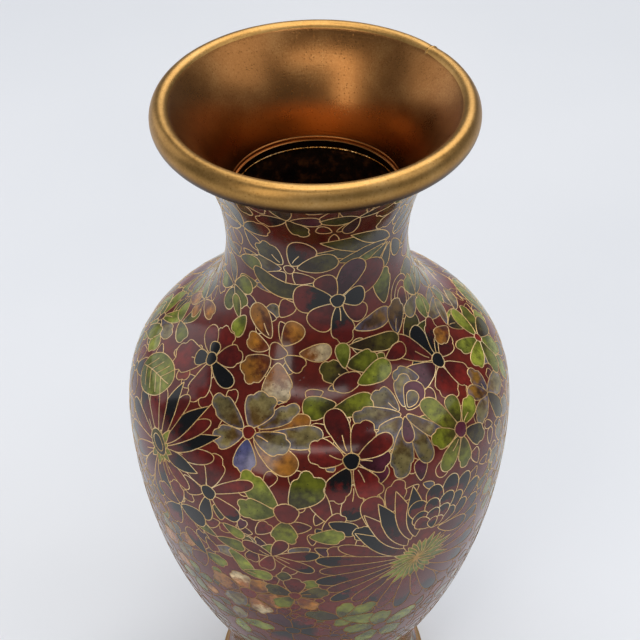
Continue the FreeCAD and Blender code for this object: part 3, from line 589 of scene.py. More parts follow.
        (196, 2, 27, 5.5, "strap", "brick", 0), (207, 2, 28, 6, "strap", "sootTip", 0),
        (220, 2, 23, 6, "strap", "brick", 0), (234, 2, 25, 6.5, "strap", "sootTip", 0),
        (250, 2, 24, 6, "strap", "brick", 0), (264, 2, 26, 6.5, "strap", "sootTip", 0),
        (280, 2, 24, 6, "strap", "brick", 0), (294, 2, 26, 6.5, "strap", "sootTip", 0),
        (310, 2, 26, 6.5, "strap", "brick", 0), (325, 2, 26, 6.5, "strap", "sootTip", 0),
        (340, 2, 27, 6.5, "strap", "sootTip", 0), (355, 2, 26, 6.5, "strap", "brick", 0),
        (10, 2, 26, 6.5, "strap", "sootTip", 0), (138, 4, 24, 6, "leaf", "sootLeaf", 0),
        (125, 8, 23, 6, "leaf", "brick", 0), (112, 8, 24, 6.5, "leaf", "sootLeaf", 0),
        (101, 10, 23, 6, "leaf", "brick", 0), (92, 10, 22, 6, "leaf", "sootLeaf", 0)]},
    {"at": (33, 133), "petals": [
        (352, 3, 18, 8, "egg", "sootTip", 20), (14, 3, 19, 8, "egg", "sootTip", 20),
        (36, 3, 18, 8, "egg", "sootTip", 20), (58, 3, 17, 8, "egg", "sootTip", 20),
        (82, 3, 15, 8, "egg", "sootTip", 20), (110, 3, 13, 8, "egg", "sootTip", 20),
        (330, 3, 14, 7, "egg", "sootTip", 10), (2, 2, 13, 7, "egg", "sootTip", 20),
        (28, 2, 13, 7, "egg", "sootTip", 20), (54, 2, 12, 7, "egg", "sootTip", 20),
        (84, 2, 11, 7, "egg", "sootTip", 20), (118, 2, 9, 7, "egg", "sootTip", 20),
        (14, 1, 9, 6, "egg", "sootTip", 20), (46, 1, 8.5, 6, "egg", "sootTip", 20),
        (80, 1, 7.5, 6, "egg", "sootTip", 20), (125, 1, 7.5, 6, "egg", "brick", 20),
        (30, 0, 5, 4.5, "egg", "brick", 25), (80, 0, 4.5, 4.5, "egg", "soot", 25)]},
    {"at": (29, 121), "petals": [], "calyx": ("lime", 10.0, 23)},
    # lower body
    {"at": (-23, 106), "petals": [
        (168, 2.4, 11, 10, "lobe", "ochre", 0), (104, 2.4, 9, 9, "lobe", "cream", 0),
        (52, 2.4, 9, 8.5, "lobe", "ochre", 0), (352, 2.4, 11, 10, "lobe", "ochre", 0),
        (294, 2.4, 10, 9, "lobe", "cream", 0),
        (232, 2.4, 11, 10, "lobe", "ash", 0)], "heart": ("brick", 3.0)},
    {"at": (-30, 131), "petals": [
        (0, -1, 10, 6.5, "lobe", "olive", 0), (160, 1, 10, 5, "egg", "olive", 0)]},
    {"at": (-25, 126), "petals": [(330, -3, 12, 5.5, "strap", "lime", -50)]},
    {"at": (-19, 119), "petals": [(5, -4.5, 9.5, 6, "egg", "lime", 0)]},
    {"at": (-36, 119), "petals": [
        (0, -1, 9, 7, "lobe", "olive", 0), (130, 0, 11, 7, "egg", "soot", 0),
        (230, 0, 10, 8, "lobe", "brick", 0)]},
    {"at": (-44, 137), "petals": [
        (240, 0.5, 12, 9, "lobe", "soot", 0), (350, 0.5, 10, 9, "egg", "jet", 0),
        (100, 0.5, 9, 8, "lobe", "brick", 0), (170, 0.5, 10, 8, "lobe", "brick", 0)]},
    {"at": (-14, 130), "petals": [
        (10, 0, 15, 5.5, "egg", "sootTip", 0), (335, 0, 14, 5.5, "egg", "sootTip", 0),
        (160, 0, 10, 5.5, "egg", "brick", 0), (60, 0, 9, 5.5, "egg", "brick", 0),
        (250, 0, 8, 6, "lobe", "brick", 0)]},
    {"at": (-8, 110), "petals": [
        (90, 1, 9, 8, "lobe", "brick", 0), (20, 1, 10, 7.5, "lobe", "moss", 0),
        (160, 1, 9, 7.5, "lobe", "moss", 0), (230, 1, 9, 7.5, "lobe", "olive", 0),
        (310, 1, 9, 7.5, "lobe", "ochre", 0)], "heart": ("brick", 2.0)},
    {"at": (6, 96), "petals": [
        (30, 0, 13, 8, "lobe", "olive", 0), (340, 0, 15, 8, "lobe", "lime", 0),
        (160, 0, 12, 8, "lobe", "moss", 0), (80, 0, 10, 7, "lobe", "olive", 0)]},
    {"at": (-10, 86), "petals": [
        (60, 1, 12, 10, "lobe", "soot", 0), (120, 1, 12, 10, "lobe", "plum", 0),
        (180, 1, 12, 10, "lobe", "brick", 0), (240, 1, 12, 10, "lobe", "soot", 0),
        (300, 1, 12, 10, "lobe", "brick", 0), (0, 1, 12, 10, "lobe", "soot", 0)], "heart": ("jet", 2.6)},
    {"at": (-30, 84), "petals": [
        (10, 0, 13, 8, "lobe", "lime", 0), (170, 0, 12, 8, "lobe", "olive", 0),
        (270, 0, 11, 8, "lobe", "lime", 0), (80, 0, 10, 7, "lobe", "ash", 0)]},
    {"at": (20, 84), "petals": [
        (20, 1, 13, 9, "lobe", "lime", 0), (92, 1, 11, 9, "lobe", "olive", 0),
        (164, 1, 12, 9, "lobe", "olive", 0), (236, 1, 11, 9, "lobe", "lime", 0),
        (308, 1, 11, 9, "lobe", "olive", 0)], "heart": ("brick", 2.6)},
]
# fillers: small motifs scattered wherever the ground would stay bare, whole flowers first
fillers = [
    {"spacing": 11.0, "clear": 4.6, "length": (6.5, 10.5), "petals": (4, 5, 5, 6), "tries": 2600,
     "sets": [("olive", "lime", "moss"), ("brick", "plum", "brick"), ("ash", "ochre", "ash"),
              ("sootTip", "brick", "sootTip"), ("olive", "olive", "ochre"), ("brick", "soot", "brick")]},
    {"spacing": 4.6, "clear": 2.1, "length": (4.5, 8.0), "petals": (2, 3, 3), "tries": 6000,
     "sets": [("brick", "brick", "plum"), ("brick", "soot", "brick"), ("moss", "brick", "olive"),
              ("brick", "brick", "brick"), ("plum", "brick", "ash"), ("brick", "oxblood", "brick")]},
]
fillerHeart = 1.7
fullRadius = 62.0  # fillers thin out where the vase is narrower than this
# fourLobes and threeLobes are the widths from which a petal's tip has so many lobes
petalForm = {
    "pointsPerMm": 1.5, "middle": 0.56, "uneven": 0.05, "waves": 1.3, "lean": 0.05,
    "fourLobes": 9.5, "threeLobes": 6.8, "notch": 0.2, "notchWidth": 0.055, "lobeFan": 240,
    "veinShare": 0.2, "veinedFrom": 9, "calyxWidth": 2.6, "strayDegrees": 2,
}


def halfWidth(style, t):
    # half the width along a petal from its base, t = 0, to its tip, t = 1, as a share of the widest; the
    # powers set how soon it swells and how bluntly it ends
    if style in ("egg", "lobe"):
        return 1.26 * t ** 0.62 * math.sqrt(max(0.0, 1 - t ** 3.4))
    if style == "leaf":
        return math.sin(math.pi * t ** 0.85) ** 0.9 if 0 < t < 1 else 0.0
    if style == "strap":
        return 1.1 * t ** 0.36 * math.sqrt(max(0.0, 1 - t ** 6))
    return math.sqrt(max(0.0, 1 - (2 * t - 1) ** 2))


def petalOutline(length, width, style, bend):
    form = petalForm
    steps = max(9, round(length * form["pointsPerMm"]))
    left, right = [], []
    for k in range(steps + 1):
        t = (1 - math.cos(math.pi * k / steps)) / 2
        w = width / 2 * halfWidth(style, t)
        left.append((t * length, w))
        right.append((t * length, -w))
    ring = left + right[-2:0:-1]
    middle, phase = length * form["middle"], dice.uniform(0, 100)
    lobes = 4 if width > form["fourLobes"] else 3 if width > form["threeLobes"] else 2
    lean = dice.uniform(-form["lean"], form["lean"])
    shaped = []
    for x, y in ring:
        angle = math.atan2(y, x - middle)
        ux, uy = form["waves"] * math.cos(angle), form["waves"] * math.sin(angle)
        f = 1 + form["uneven"] * noise.noise(Vector((ux, uy, phase)))
        if style == "lobe":
            q = angle / math.radians(form["lobeFan"]) + 0.5 + lean
            for cusp in range(1, lobes):
                f -= form["notch"] * math.exp(-((q - cusp / lobes) / form["notchWidth"]) ** 2)
        shaped.append((middle + (x - middle) * f, y * f))
    if not bend:
        return shaped
    turn = math.radians(bend)
    big = length / turn
    return [((big - y) * math.sin(turn * x / length), big - (big - y) * math.cos(turn * x / length))
            for x, y in shaped]


# the pattern's flat working sheet: x is azimuth times sheetRadius, y is distance along the outline
sheetRadius = 45.0
halfSheet = math.pi * sheetRadius


def onSheet(at, x, y):
    azimuth, run = at
    r = meridian(run + y)[0]
    return ((azimuth + x / r) * sheetRadius, run + y)


outlines, cellKinds, cellAxes, openWires, wireOwners = [], [], [], [], []


def addCell(points, kind, base, tip):
    # the net needs every ring to run anticlockwise
    area = sum(a[0] * b[1] - b[0] * a[1] for a, b in zip(points, points[1:] + points[:1]))
    outlines.append(points if area > 0 else points[::-1])
    cellKinds.append(kind)
    cellAxes.append((base, tip))
    return len(outlines) - 1


def addPetal(at, petal, veins=False):
    direction, gap, length, width, style, kind, bend = petal
    angle = math.radians(direction + dice.uniform(-petalForm["strayDegrees"], petalForm["strayDegrees"]))
    c, s = math.cos(angle), math.sin(angle)

    def turned(line):
        return [onSheet(at, x * c - y * s, x * s + y * c) for x, y in line]

    ring = [(gap + x, y) for x, y in petalOutline(length, width * dice.uniform(0.96, 1.05), style, bend)]
    base, tip = onSheet(at, gap * c, gap * s), onSheet(at, (gap + length) * c, (gap + length) * s)
    owner = addCell(turned(ring), kind, base, tip)
    if veins:
        # a rib along the leaf and four pairs of side veins
        rib = [(gap + length * (0.04 + 0.9 * k / 8), 0.6 * math.sin(k / 2)) for k in range(9)]
        ribs = [rib] + [[(gap + length * f, 0.3), (gap + length * (f + 0.13), width * 0.2 * side),
                         (gap + length * (f + 0.2), width * 0.33 * side)]
                        for f in (0.15, 0.33, 0.52, 0.68) for side in (-1, 1)]
        openWires.extend(turned(line) for line in ribs)
        wireOwners.extend([owner] * len(ribs))
    elif length > petalForm["veinedFrom"] and style != "strap" and dice.random() < petalForm["veinShare"]:
        line = [(gap + length * f, 0.25 * math.sin(9 * f)) for f in (0.1, 0.2, 0.3, 0.42)]
        openWires.append(turned(line))
        wireOwners.append(owner)


def addMotif(motif, turn=0.0, swap=None):
    at = (math.radians(motif["at"][0] + turn), runAt(motif["at"][1]))
    for petal in motif["petals"]:
        if swap:
            petal = petal[:5] + (swap.get(petal[5], petal[5]),) + petal[6:]
        addPetal(at, petal, motif.get("veins", False))
    if "heart" in motif:
        kind, radius = motif["heart"]
        ring = [onSheet(at, radius * (1 + 0.1 * math.sin(3 * a)) * math.cos(a), radius * math.sin(a))
                for a in [2 * math.pi * k / 16 for k in range(16)]]
        addCell(ring, kind, at, onSheet(at, radius, 0))
    if "calyx" in motif:
        kind, reach, spikes = motif["calyx"]
        for k in range(spikes):
            spike = reach * dice.uniform(0.7, 1.35)
            addPetal(at, (360 * k / spikes + 9, 0.3, spike, petalForm["calyxWidth"], "leaf", kind, 0))


def addFillers(form):
    taken = kdtree.KDTree(sum(len(o) for o in outlines))
    for k, (x, y) in enumerate(p for o in outlines for p in o):
        taken.insert((x * meridian(y)[0] / sheetRadius, y, 0), k)
    taken.balance()
    spots = []
    for k in range(form["tries"]):
        run = dice.uniform(2, outlineLength - 2)
        r = meridian(run)[0]
        azimuth = dice.uniform(-math.pi, math.pi)
        here = (azimuth * r, run, 0)
        if dice.random() > r / fullRadius or taken.find(here)[2] < form["clear"]:
            continue
        if any(math.hypot((azimuth - a) * r, run - s) < form["spacing"] for a, s in spots):
            continue
        at = (azimuth, run)
        spots.append(at)
        colours = dice.choice(form["sets"])
        count, start = dice.choice(form["petals"]), dice.uniform(0, 360)
        low, high = form["length"]
        for j in range(count):
            length = dice.uniform(low, high)
            style = dice.choice(("egg", "lobe", "lobe"))
            width = length * dice.uniform(0.65, 0.9)
            addPetal(at, (start + 360 * j / count, 0.8, length, width, style, colours[j % 3], 0))
        if count > 3:
            ring = [onSheet(at, fillerHeart * math.cos(a), fillerHeart * math.sin(a))
                    for a in [math.pi * j / 6 for j in range(12)]]
            middle = azimuth * sheetRadius
            addCell(ring, dice.choice(("jet", "brick", "plum")), (middle, run), (middle + 1, run))


print("pattern")
# the back repeats the front with other colours, and what is laid later lies over what is laid earlier
backColours = {"ochre": "olive", "cream": "lime", "violet": "ochre", "ash": "ochre", "olive": "ash"}
for motif in motifs:
    addMotif(motif, 180.0, backColours)
for motif in motifs:
    addMotif(motif)
# the scattered fillers are placed round the motifs but lie under them, the small ones lowest
layers = [len(outlines)]
for form in fillers:
    addFillers(form)
    layers.append(len(outlines))
order = [i for low, high in reversed(list(zip([0] + layers, layers))) for i in range(low, high)]
newIndex = {old: new for new, old in enumerate(order)}
outlines = [outlines[i] for i in order]
cellKinds = [cellKinds[i] for i in order]
cellAxes = [cellAxes[i] for i in order]
wireOwners = [newIndex[i] for i in wireOwners]
print("cells", layers)

# the net's spacings on the sheet, and how near to an outline none of its own points may lie
netForm = {"row": 1.7, "column": 2.0, "clear": 0.55, "columnsAcross": 260, "rowUp": 1.6, "snap": 1e-6}


def layOut(form):
    # one flat net of triangles in which every cell's edge is a line of the net
    points, faces, faceCell, edges, edgeOwner = [], [], [], [], []
    across, upward = form["columnsAcross"], round(outlineLength / form["rowUp"])
    border = [(-halfSheet + 2 * halfSheet * k / across, 0.0) for k in range(across)]
    border += [(halfSheet, outlineLength * k / upward) for k in range(upward)]
    border += [(halfSheet - 2 * halfSheet * k / across, outlineLength) for k in range(across)]
    border += [(-halfSheet, outlineLength * (1 - k / upward)) for k in range(upward)]
    faces.append(list(range(len(border))))
    faceCell.append(-1)  # the ground
    points += border

    def home(x):
        # whole turns that bring a point back on the sheet
        return -round(x / (2 * halfSheet)) * 2 * halfSheet

    for cell, ring in enumerate(outlines):
        xs = [p[0] for p in ring]
        first = home((min(xs) + max(xs)) / 2)
        shifts = [first]
        if min(xs) + first < -halfSheet:
            shifts.append(first + 2 * halfSheet)
        if max(xs) + first > halfSheet:
            shifts.append(first - 2 * halfSheet)
        for shift in shifts:
            start = len(points)
            points += [(x + shift, y) for x, y in ring]
            faces.append(list(range(start, start + len(ring))))
            faceCell.append(cell)
    for owner, line in zip(wireOwners, openWires):
        shift, start = home(line[0][0]), len(points)
        points += [(x + shift, y) for x, y in line]
        edges += [(start + k, start + k + 1) for k in range(len(line) - 1)]
        edgeOwner += [owner] * (len(line) - 1)
    # points between the outlines, so that the net bends with the vase
    taken = kdtree.KDTree(len(points))
    for k, p in enumerate(points):
        taken.insert((p[0], p[1], 0), k)
    taken.balance()
    rows = round(outlineLength / form["row"])
    for j in range(1, rows):
        run = outlineLength * j / rows
        count = round(2 * math.pi * meridian(run)[0] / form["column"])
        for k in range(count):
            x = -halfSheet + 2 * halfSheet * (k + 0.5 * (j % 2) + 0.25) / count
            if taken.find((x, run, 0))[2] > form["clear"]:
                points.append((x, run))
    result = delaunay_2d_cdt([Vector(p) for p in points], edges, faces, 0, form["snap"], True)
    return result, faceCell, edgeOwner


(netPoints, netEdges, netFaces, _, edgeSources, faceSources), faceCell, edgeOwner = layOut(netForm)
print("net", len(netPoints), "points", len(netFaces), "triangles")

# each triangle belongs to the cell that was laid last over it
faceTop = [max(faceCell[s] for s in sources) if 0 in sources else None for sources in faceSources]
edgeFaces = {}
for index, corners in enumerate(netFaces):
    for k in range(len(corners)):
        a, b = corners[k], corners[(k + 1) % len(corners)]
        edgeFaces.setdefault((min(a, b), max(a, b)), []).append(index)

# a wire stands wherever one cell gives way to another, and along the open wires that still lie on top
wireEdges = set()
for (a, b), sources in zip(netEdges, edgeSources):
    key = (min(a, b), max(a, b))
    tops = [faceTop[f] for f in edgeFaces.get(key, [])]
    if len(tops) < 2 or None in tops:
        continue
    if tops[0] != tops[1]:
        wireEdges.add(key)
    elif any(s < len(edgeOwner) and edgeOwner[s] == tops[0] for s in sources):
        wireEdges.add(key)

wired = {corner for edge in wireEdges for corner in edge}
# the polished face lies a hair inside the outline, so that the wires' proud tops stay on it
surface = [onVase(p[0] / sheetRadius, p[1], -vaseForm["polishInset"]) for p in netPoints]
inner = [onVase(p[0] / sheetRadius, p[1], -vaseForm["enamelThickness"])[0] for p in netPoints]
cellShades = [dice.random() for _ in outlines]


def cellRun(cell, point):
    # how far a point lies from its cell's base, 0, to its tip, 1
    (bx, by), (tx, ty) = cellAxes[cell]
    lx, ly = tx - bx, ty - by
    px = point[0] - bx
    px -= round(px / (2 * halfSheet)) * 2 * halfSheet
    return min(max((px * lx + (point[1] - by) * ly) / (lx * lx + ly * ly + 1e-9), 0.0), 1.0)


def enamelPiece(kind, triangles, stands=()):
    # the cells of one colour: polished face, back face against the copper, and walls along the wires
    used, vertices, faces, normals, runs, shades, brinks = {}, [], [], [], [], [], []

    def vertex(index, depth):
        if (index, depth) not in used:
            used[index, depth] = len(vertices)
            vertices.append(inner[index] if depth else surface[index][0])
        return used[index, depth]

    rims = set()
    for f in triangles:
        corners, cell = netFaces[f], faceTop[f]
        n = len(corners)
        faces.append([vertex(i, 0) for i in corners])
        faces.append([vertex(i, 1) for i in reversed(corners)])
        normals += [surface[i][1] for i in corners] + [-surface[i][1] for i in reversed(corners)]
        along = [cellRun(cell, netPoints[i]) if cell >= 0 else 0.0 for i in corners]
        brink = [float(i in wired) for i in corners]
        runs += along + along[::-1]
        brinks += brink + brink[::-1]
        shades += [cellShades[cell] if cell >= 0 else 0.5] * (2 * n)
        for a, b in zip(corners, corners[1:] + corners[:1]):
            if (b, a) in rims:
                rims.remove((b, a))
            else:
                rims.add((a, b))
    for a, b in sorted(rims):
        faces.append([vertex(b, 0), vertex(a, 0), vertex(a, 1), vertex(b, 1)])
        normals += [(surface[b][0] - surface[a][0]).cross(surface[a][1]).normalized()] * 4
        runs += [0.5] * 4
        shades += [0.5] * 4
        brinks += [1.0] * 4
    newPiece(kind + "_enamel", vertices, faces, enamels[kind], "red_enamel", stands, normals=normals,
             marks={"petalRun": runs, "cellShade": shades, "nearWire": brinks})


byKind = {}
for index, cell in enumerate(faceTop):
    if cell is not None:
        byKind.setdefault("oxblood" if cell < 0 else cellKinds[cell], []).append(index)
for kind, triangles in byKind.items():
    enamelPiece(kind, triangles, ["enamel_coat"] if kind == "oxblood" else ())
print("enamel", {kind: len(t) for kind, t in byKind.items()})

# the wires: flat ribbon on edge between the cells, in zones that each start at a level
wireForm = {
    "width": 0.36, "proud": 0.05, "depth": 0.35, "overlap": 0.1, "topShare": 0.7, "softEdge": 0.55,
    "zones": [("foot", 0), ("lower", 76), ("belly", 110), ("shoulder", 160), ("neck", 196)],
}
# the bead of solder where wires meet; spread is how much one differs from another
beadForm = {"reach": 0.36, "spread": (0.75, 1.25), "top": 0.08, "brow": 0.04, "browShare": 0.6, "sides": 8}


def wireChains():
    # the runs of wire from meeting to meeting, and the meetings
    links = {}
    for a, b in wireEdges:
        links.setdefault(a, []).append(b)
        links.setdefault(b, []).append(a)
    done, chains = set(), []

    def walk(start, step):
        chain = [start, step]
        done.add((min(start, step), max(start, step)))
        while len(links[chain[-1]]) == 2:
            onward = links[chain[-1]][0] if links[chain[-1]][0] != chain[-2] else links[chain[-1]][1]
            key = (min(chain[-1], onward), max(chain[-1], onward))
            if key in done:
                break
            done.add(key)
            chain.append(onward)
        return chain

    ends = [v for v, near in links.items() if len(near) != 2]
    for v in ends + list(links):
        for near in links[v]:
            if (min(v, near), max(v, near)) not in done:
                chains.append(walk(v, near))
    return chains, [v for v in ends if len(links[v]) > 2]


def ribbon(chain, vertices, faces, normals):
    w, up, down = wireForm["width"] / 2 * mm, wireForm["proud"] * mm, wireForm["depth"] * mm
    top, soft = wireForm["topShare"], wireForm["softEdge"]
    closed = chain[0] == chain[-1] and len(chain) > 3
    spots = chain[:-1] if closed else chain
    n, start = len(spots), len(vertices)
    rings = []
    for k, i in enumerate(spots):
        before = spots[k - 1] if k or closed else i
        after = spots[(k + 1) % n] if k < n - 1 or closed else i
        place, normal = surface[i]
        run = (surface[after][0] - surface[before][0]).normalized()
        side = run.cross(normal).normalized()
        if not closed and k in (0, n - 1):
            place = place + run * wireForm["overlap"] * mm * (1 if k else -1)
        vertices += [place - side * w - normal * down, place - side * w * top + normal * up,
                     place + side * w * top + normal * up, place + side * w - normal * down]
        rings.append((-side, (normal - side * soft).normalized(), (normal + side * soft).normalized(), side))
    for k in range(n if closed else n - 1):
        a, b = start + 4 * k, start + 4 * ((k + 1) % n)
        here, there = rings[k], rings[(k + 1) % n]
        for j in range(3):
            faces.append((a + j, a + j + 1, b + j + 1, b + j))
            normals += [here[j], here[j + 1], there[j + 1], there[j]]
        faces.append((a + 3, a, b, b + 3))
        normals += [-surface[spots[k]][1]] * 4
    if not closed:
        a, b = start, start + 4 * (n - 1)
        faces.append((a + 3, a + 2, a + 1, a))
        faces.append((b, b + 1, b + 2, b + 3))
        normals += [surface[spots[0]][1]] * 8


def bead(index, vertices, faces, normals):
    # a low dome over a short stalk that sinks into the joint
    place, normal = surface[index]
    n, reach = beadForm["sides"], beadForm["reach"] * dice.uniform(*beadForm["spread"]) * mm
    side = normal.orthogonal().normalized()
    other = normal.cross(side)
    start = len(vertices)
    vertices.append(place + normal * beadForm["top"] * mm)
    for height, share in ((beadForm["brow"], beadForm["browShare"]), (-wireForm["depth"], 1.0)):
        for a in [2 * math.pi * k / n for k in range(n)]:
            outward = side * math.cos(a) + other * math.sin(a)
            vertices.append(place + normal * height * mm + outward * reach * share)
    vertices.append(place - normal * wireForm["depth"] * mm)
    for k in range(n):
        i, j, foot = start + 1 + k, start + 1 + (k + 1) % n, start + 1 + 2 * n
        faces += [(start, i, j), (i, i + n, j + n, j), (foot, j + n, i + n)]
        ni, nj = (vertices[i] - place).normalized(), (vertices[j] - place).normalized()
        normals += [normal, ni, nj, ni, ni, nj, nj, -normal, -normal, -normal]


chains, meetings = wireChains()
zoneNames = [name for name, _ in wireForm["zones"]]
zoneStarts = [0] + [runAt(level) for _, level in wireForm["zones"][1:]] + [outlineLength + 1]
for name, low, high in zip(zoneNames, zoneStarts, zoneStarts[1:]):
    vertices, faces, normals = [], [], []
    for chain in chains:
        if low <= netPoints[chain[len(chain) // 2]][1] < high:
            ribbon(chain, vertices, faces, normals)
    for index in meetings:
        if low <= netPoints[index][1] < high:
            bead(index, vertices, faces, normals)
    newPiece(name + "_cloison_wires", vertices, faces, metalFinishes["gildedDrawnWire"], "gilt_wire",
             normals=normals)

# the brass lip: an oval hoop whose two ends are brazed together; gap and joint span are radians, girth and
# what changes it are shares of the section, and jointSteps is how far the dip at the joint reaches
lipForm = {
    "width": 6.5, "height": 8.5, "endArc": 2.7, "sideShare": 0.55, "sectionPoints": 44, "steps": 360,
    "girth": 0.985, "girthUneven": 0.012, "uneven": 0.04,
    "jointDegrees": 128.0, "gap": 0.0045, "jointSpan": 0.028, "jointDip": 0.1, "jointSteps": 5.0,
    "jointPinch": 0.03, "brazeGirth": 0.92, "brazeBulge": 0.1, "brazeUneven": 0.02, "brazeSteps": 8,
}
lipLow, lipHigh = nodeSpan("lip_ring")
lipLevel = (lipLow + lipHigh) / 2
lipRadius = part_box("lip_ring")[1].x / mm - lipForm["width"] / 2


def ovalSection(form):
    # a flat side arc and a tight end arc, mirrored up and down, inward and outward
    a, b, e, share = form["width"] / 2, form["height"] / 2, form["endArc"], form["sideShare"]
    side = (a * a + (b - e) ** 2 - e * e) / (2 * (a - e))
    turn = math.atan2(b - e, side - a)
    quarter = []
    for k in range(form["sectionPoints"] // 4):
        f = k / (form["sectionPoints"] // 4)
        if f < share:
            angle = turn * f / share
            quarter.append((a - side + side * math.cos(angle), side * math.sin(angle)))
        else:
            angle = turn + (math.pi / 2 - turn) * (f - share) / (1 - share)
            quarter.append((e * math.cos(angle), b - e + e * math.sin(angle)))
    top = [(0.0, b)] + [(-x, y) for x, y in quarter[::-1]]
    upper = quarter + top[:-1] + [(-a, 0.0)]
    return upper + [(x, -y) for x, y in upper[-2:0:-1]]


def brassLip(form):
    section, brass = ovalSection(form), metalFinishes["wipedRolledBrass"]
    joint, gap, steps = math.radians(form["jointDegrees"]), form["gap"], form["steps"]

    def ring(azimuth, grow, lift=0.0):
        # grow swells the section at one of its points; the top never stands above the lip's own level
        return [around(azimuth, lipRadius + x * grow(x, y), min(lipLevel + y * grow(x, y) + lift, lipHigh))
                for x, y in section]

    rings = []
    for k in range(steps + 1):
        azimuth = joint + gap + (2 * math.pi - 2 * gap) * k / steps
        c, s = math.cos(azimuth), math.sin(azimuth)
        near = math.exp(-((min(k, steps - k) / form["jointSteps"]) ** 2))
        girth = form["girth"] + form["girthUneven"] * noise.noise(Vector((3 * c, 3 * s, 1)))
        if k < steps / 2:
            girth -= form["jointPinch"] * near  # one end is drawn in a little more than the other
        lift = form["uneven"] * noise.noise(Vector((2 * c, 2 * s, 5))) - form["jointDip"] * near
        rings.append(ring(azimuth, lambda x, y: girth, lift))
    newPiece("brass_lip_hoop", *sweep(rings), brass, "turned_brass", ["lip_ring"])
    rings = []
    for k in range(form["brazeSteps"] + 1):
        f = k / form["brazeSteps"]
        girth = form["brazeGirth"] + form["brazeBulge"] * math.sin(math.pi * f) ** 0.6
        rings.append(ring(joint + (f - 0.5) * form["jointSpan"], lambda x, y: girth * (
            1 + form["brazeUneven"] * noise.noise(Vector((x, y, k * 0.7))))))
    newPiece("lip_joint_solder", *sweep(rings), brass, "brazing", ["lip_joint_braze"])


# the brass trumpet: turned inside, with a scribed line above a short straight throat
trumpetForm = {
    "wall": 2.0, "land": 2.5, "step": 0.6, "chamfer": 0.15, "rimChamfer": 0.25, "rimDrop": 0.02,
    "uneven": 0.035, "wavesAround": 2.4, "waveHeight": 11,
    "scribe": 1.0, "scribeWidth": 0.45, "scribeDepth": 0.16, "bowlSteps": 64, "backSteps": 30, "steps": 320,
}
throatLevel = nodeSpan("mouth_funnel")[0]


def brassTrumpet(form):
    neck, flare = vaseForm["neckLevel"], flareRadius(vaseForm)
    centre = vaseForm["neckRadius"] + flare
    inside = flare + vaseForm["trumpetInset"]
    outside = inside - form["wall"]

    def bowl(level, radius):
        return centre - math.sqrt(radius ** 2 - (level - neck) ** 2)

    landTop, chamfer, drop = throatLevel + form["land"], form["chamfer"], form["rimDrop"]
    bore = bowl(landTop, inside) - form["step"]
    outline = [(bowl(edgeLevel, outside), edgeLevel),
               (bowl(edgeLevel, inside) + form["rimChamfer"], edgeLevel + drop)]
    depth, count = edgeLevel - landTop - drop, form["bowlSteps"]
    levels = [edgeLevel - depth * k / count for k in range(1, count + 1)]
    scribe = landTop + form["scribe"]
    levels += [scribe + form["scribeWidth"] * f for f in (0.5, 0.25, 0, -0.25, -0.5)]
    for level in sorted(levels, reverse=True):
        dip = form["scribeDepth"] * max(0.0, 1 - abs(level - scribe) / (form["scribeWidth"] * 0.45))
        outline.append((bowl(level, inside) + dip, level))
    outline += [(bore + chamfer, landTop), (bore, landTop - chamfer)]
    outline += [(bore, throatLevel + chamfer), (bore + chamfer, throatLevel)]
    for k in range(form["backSteps"]):
        level = throatLevel + (edgeLevel - throatLevel) * k / form["backSteps"]
        outline.append((bowl(level, outside), level))

    def uneven(azimuth, level):
        x, y = math.cos(azimuth) * form["wavesAround"], math.sin(azimuth) * form["wavesAround"]
        return form["uneven"] * noise.noise(Vector((x, y, level / form["waveHeight"])))

    newPiece("brass_mouth_trumpet", *lathe(outline, form["steps"], uneven), metalFinishes["turnedCastBrass"],
             "turned_brass", ["mouth_funnel"], sharp=28)
    return bore


# least, ragged and drift make up a tooth's half height, and flat is how much wider it is than high
solderForm = {"steps": 520, "around": 8, "least": 0.30, "ragged": 0.22, "drift": 0.16, "driftWaves": 9,
              "flat": 1.15, "out": 0.62, "stray": 0.12, "down": 0.55}


def throatSolder(bore, form):
    # ragged teeth of brazing metal that ran out below the trumpet
    steps, n, vertices, faces = form["steps"], form["around"], [], []
    for k in range(steps):
        azimuth = 2 * math.pi * k / steps
        x, y = math.cos(azimuth) * form["driftWaves"], math.sin(azimuth) * form["driftWaves"]
        waver = noise.noise(Vector((x, y, 0)))
        tooth = form["least"] + form["ragged"] * dice.random() + form["drift"] * waver
        r, z = bore + form["out"] + form["stray"] * dice.random(), throatLevel - form["down"]
        for a in [2 * math.pi * j / n for j in range(n)]:
            vertices.append(around(azimuth, r + tooth * form["flat"] * math.cos(a), z + tooth * math.sin(a)))
    for k in range(steps):
        a, b = k * n, ((k + 1) % steps) * n
        faces += [(a + j, a + (j + 1) % n, b + (j + 1) % n, b + j) for j in range(n)]
    newPiece("throat_solder_teeth", vertices, faces, metalFinishes["runBrazingMetal"], "brazing",
             ["throat_braze"], sharp=60)


# the brass foot ring: a rounded standing edge, a straight band and a shoulder that rises to the enamel
footForm = {"edge": 1.2, "band": 2.6, "bore": 32.5, "overEnamel": 0.2, "boreEdge": 0.4, "topEdge": 0.3,
            "bandEdge": 0.1, "shoulderIn": 0.35, "steps": 240}


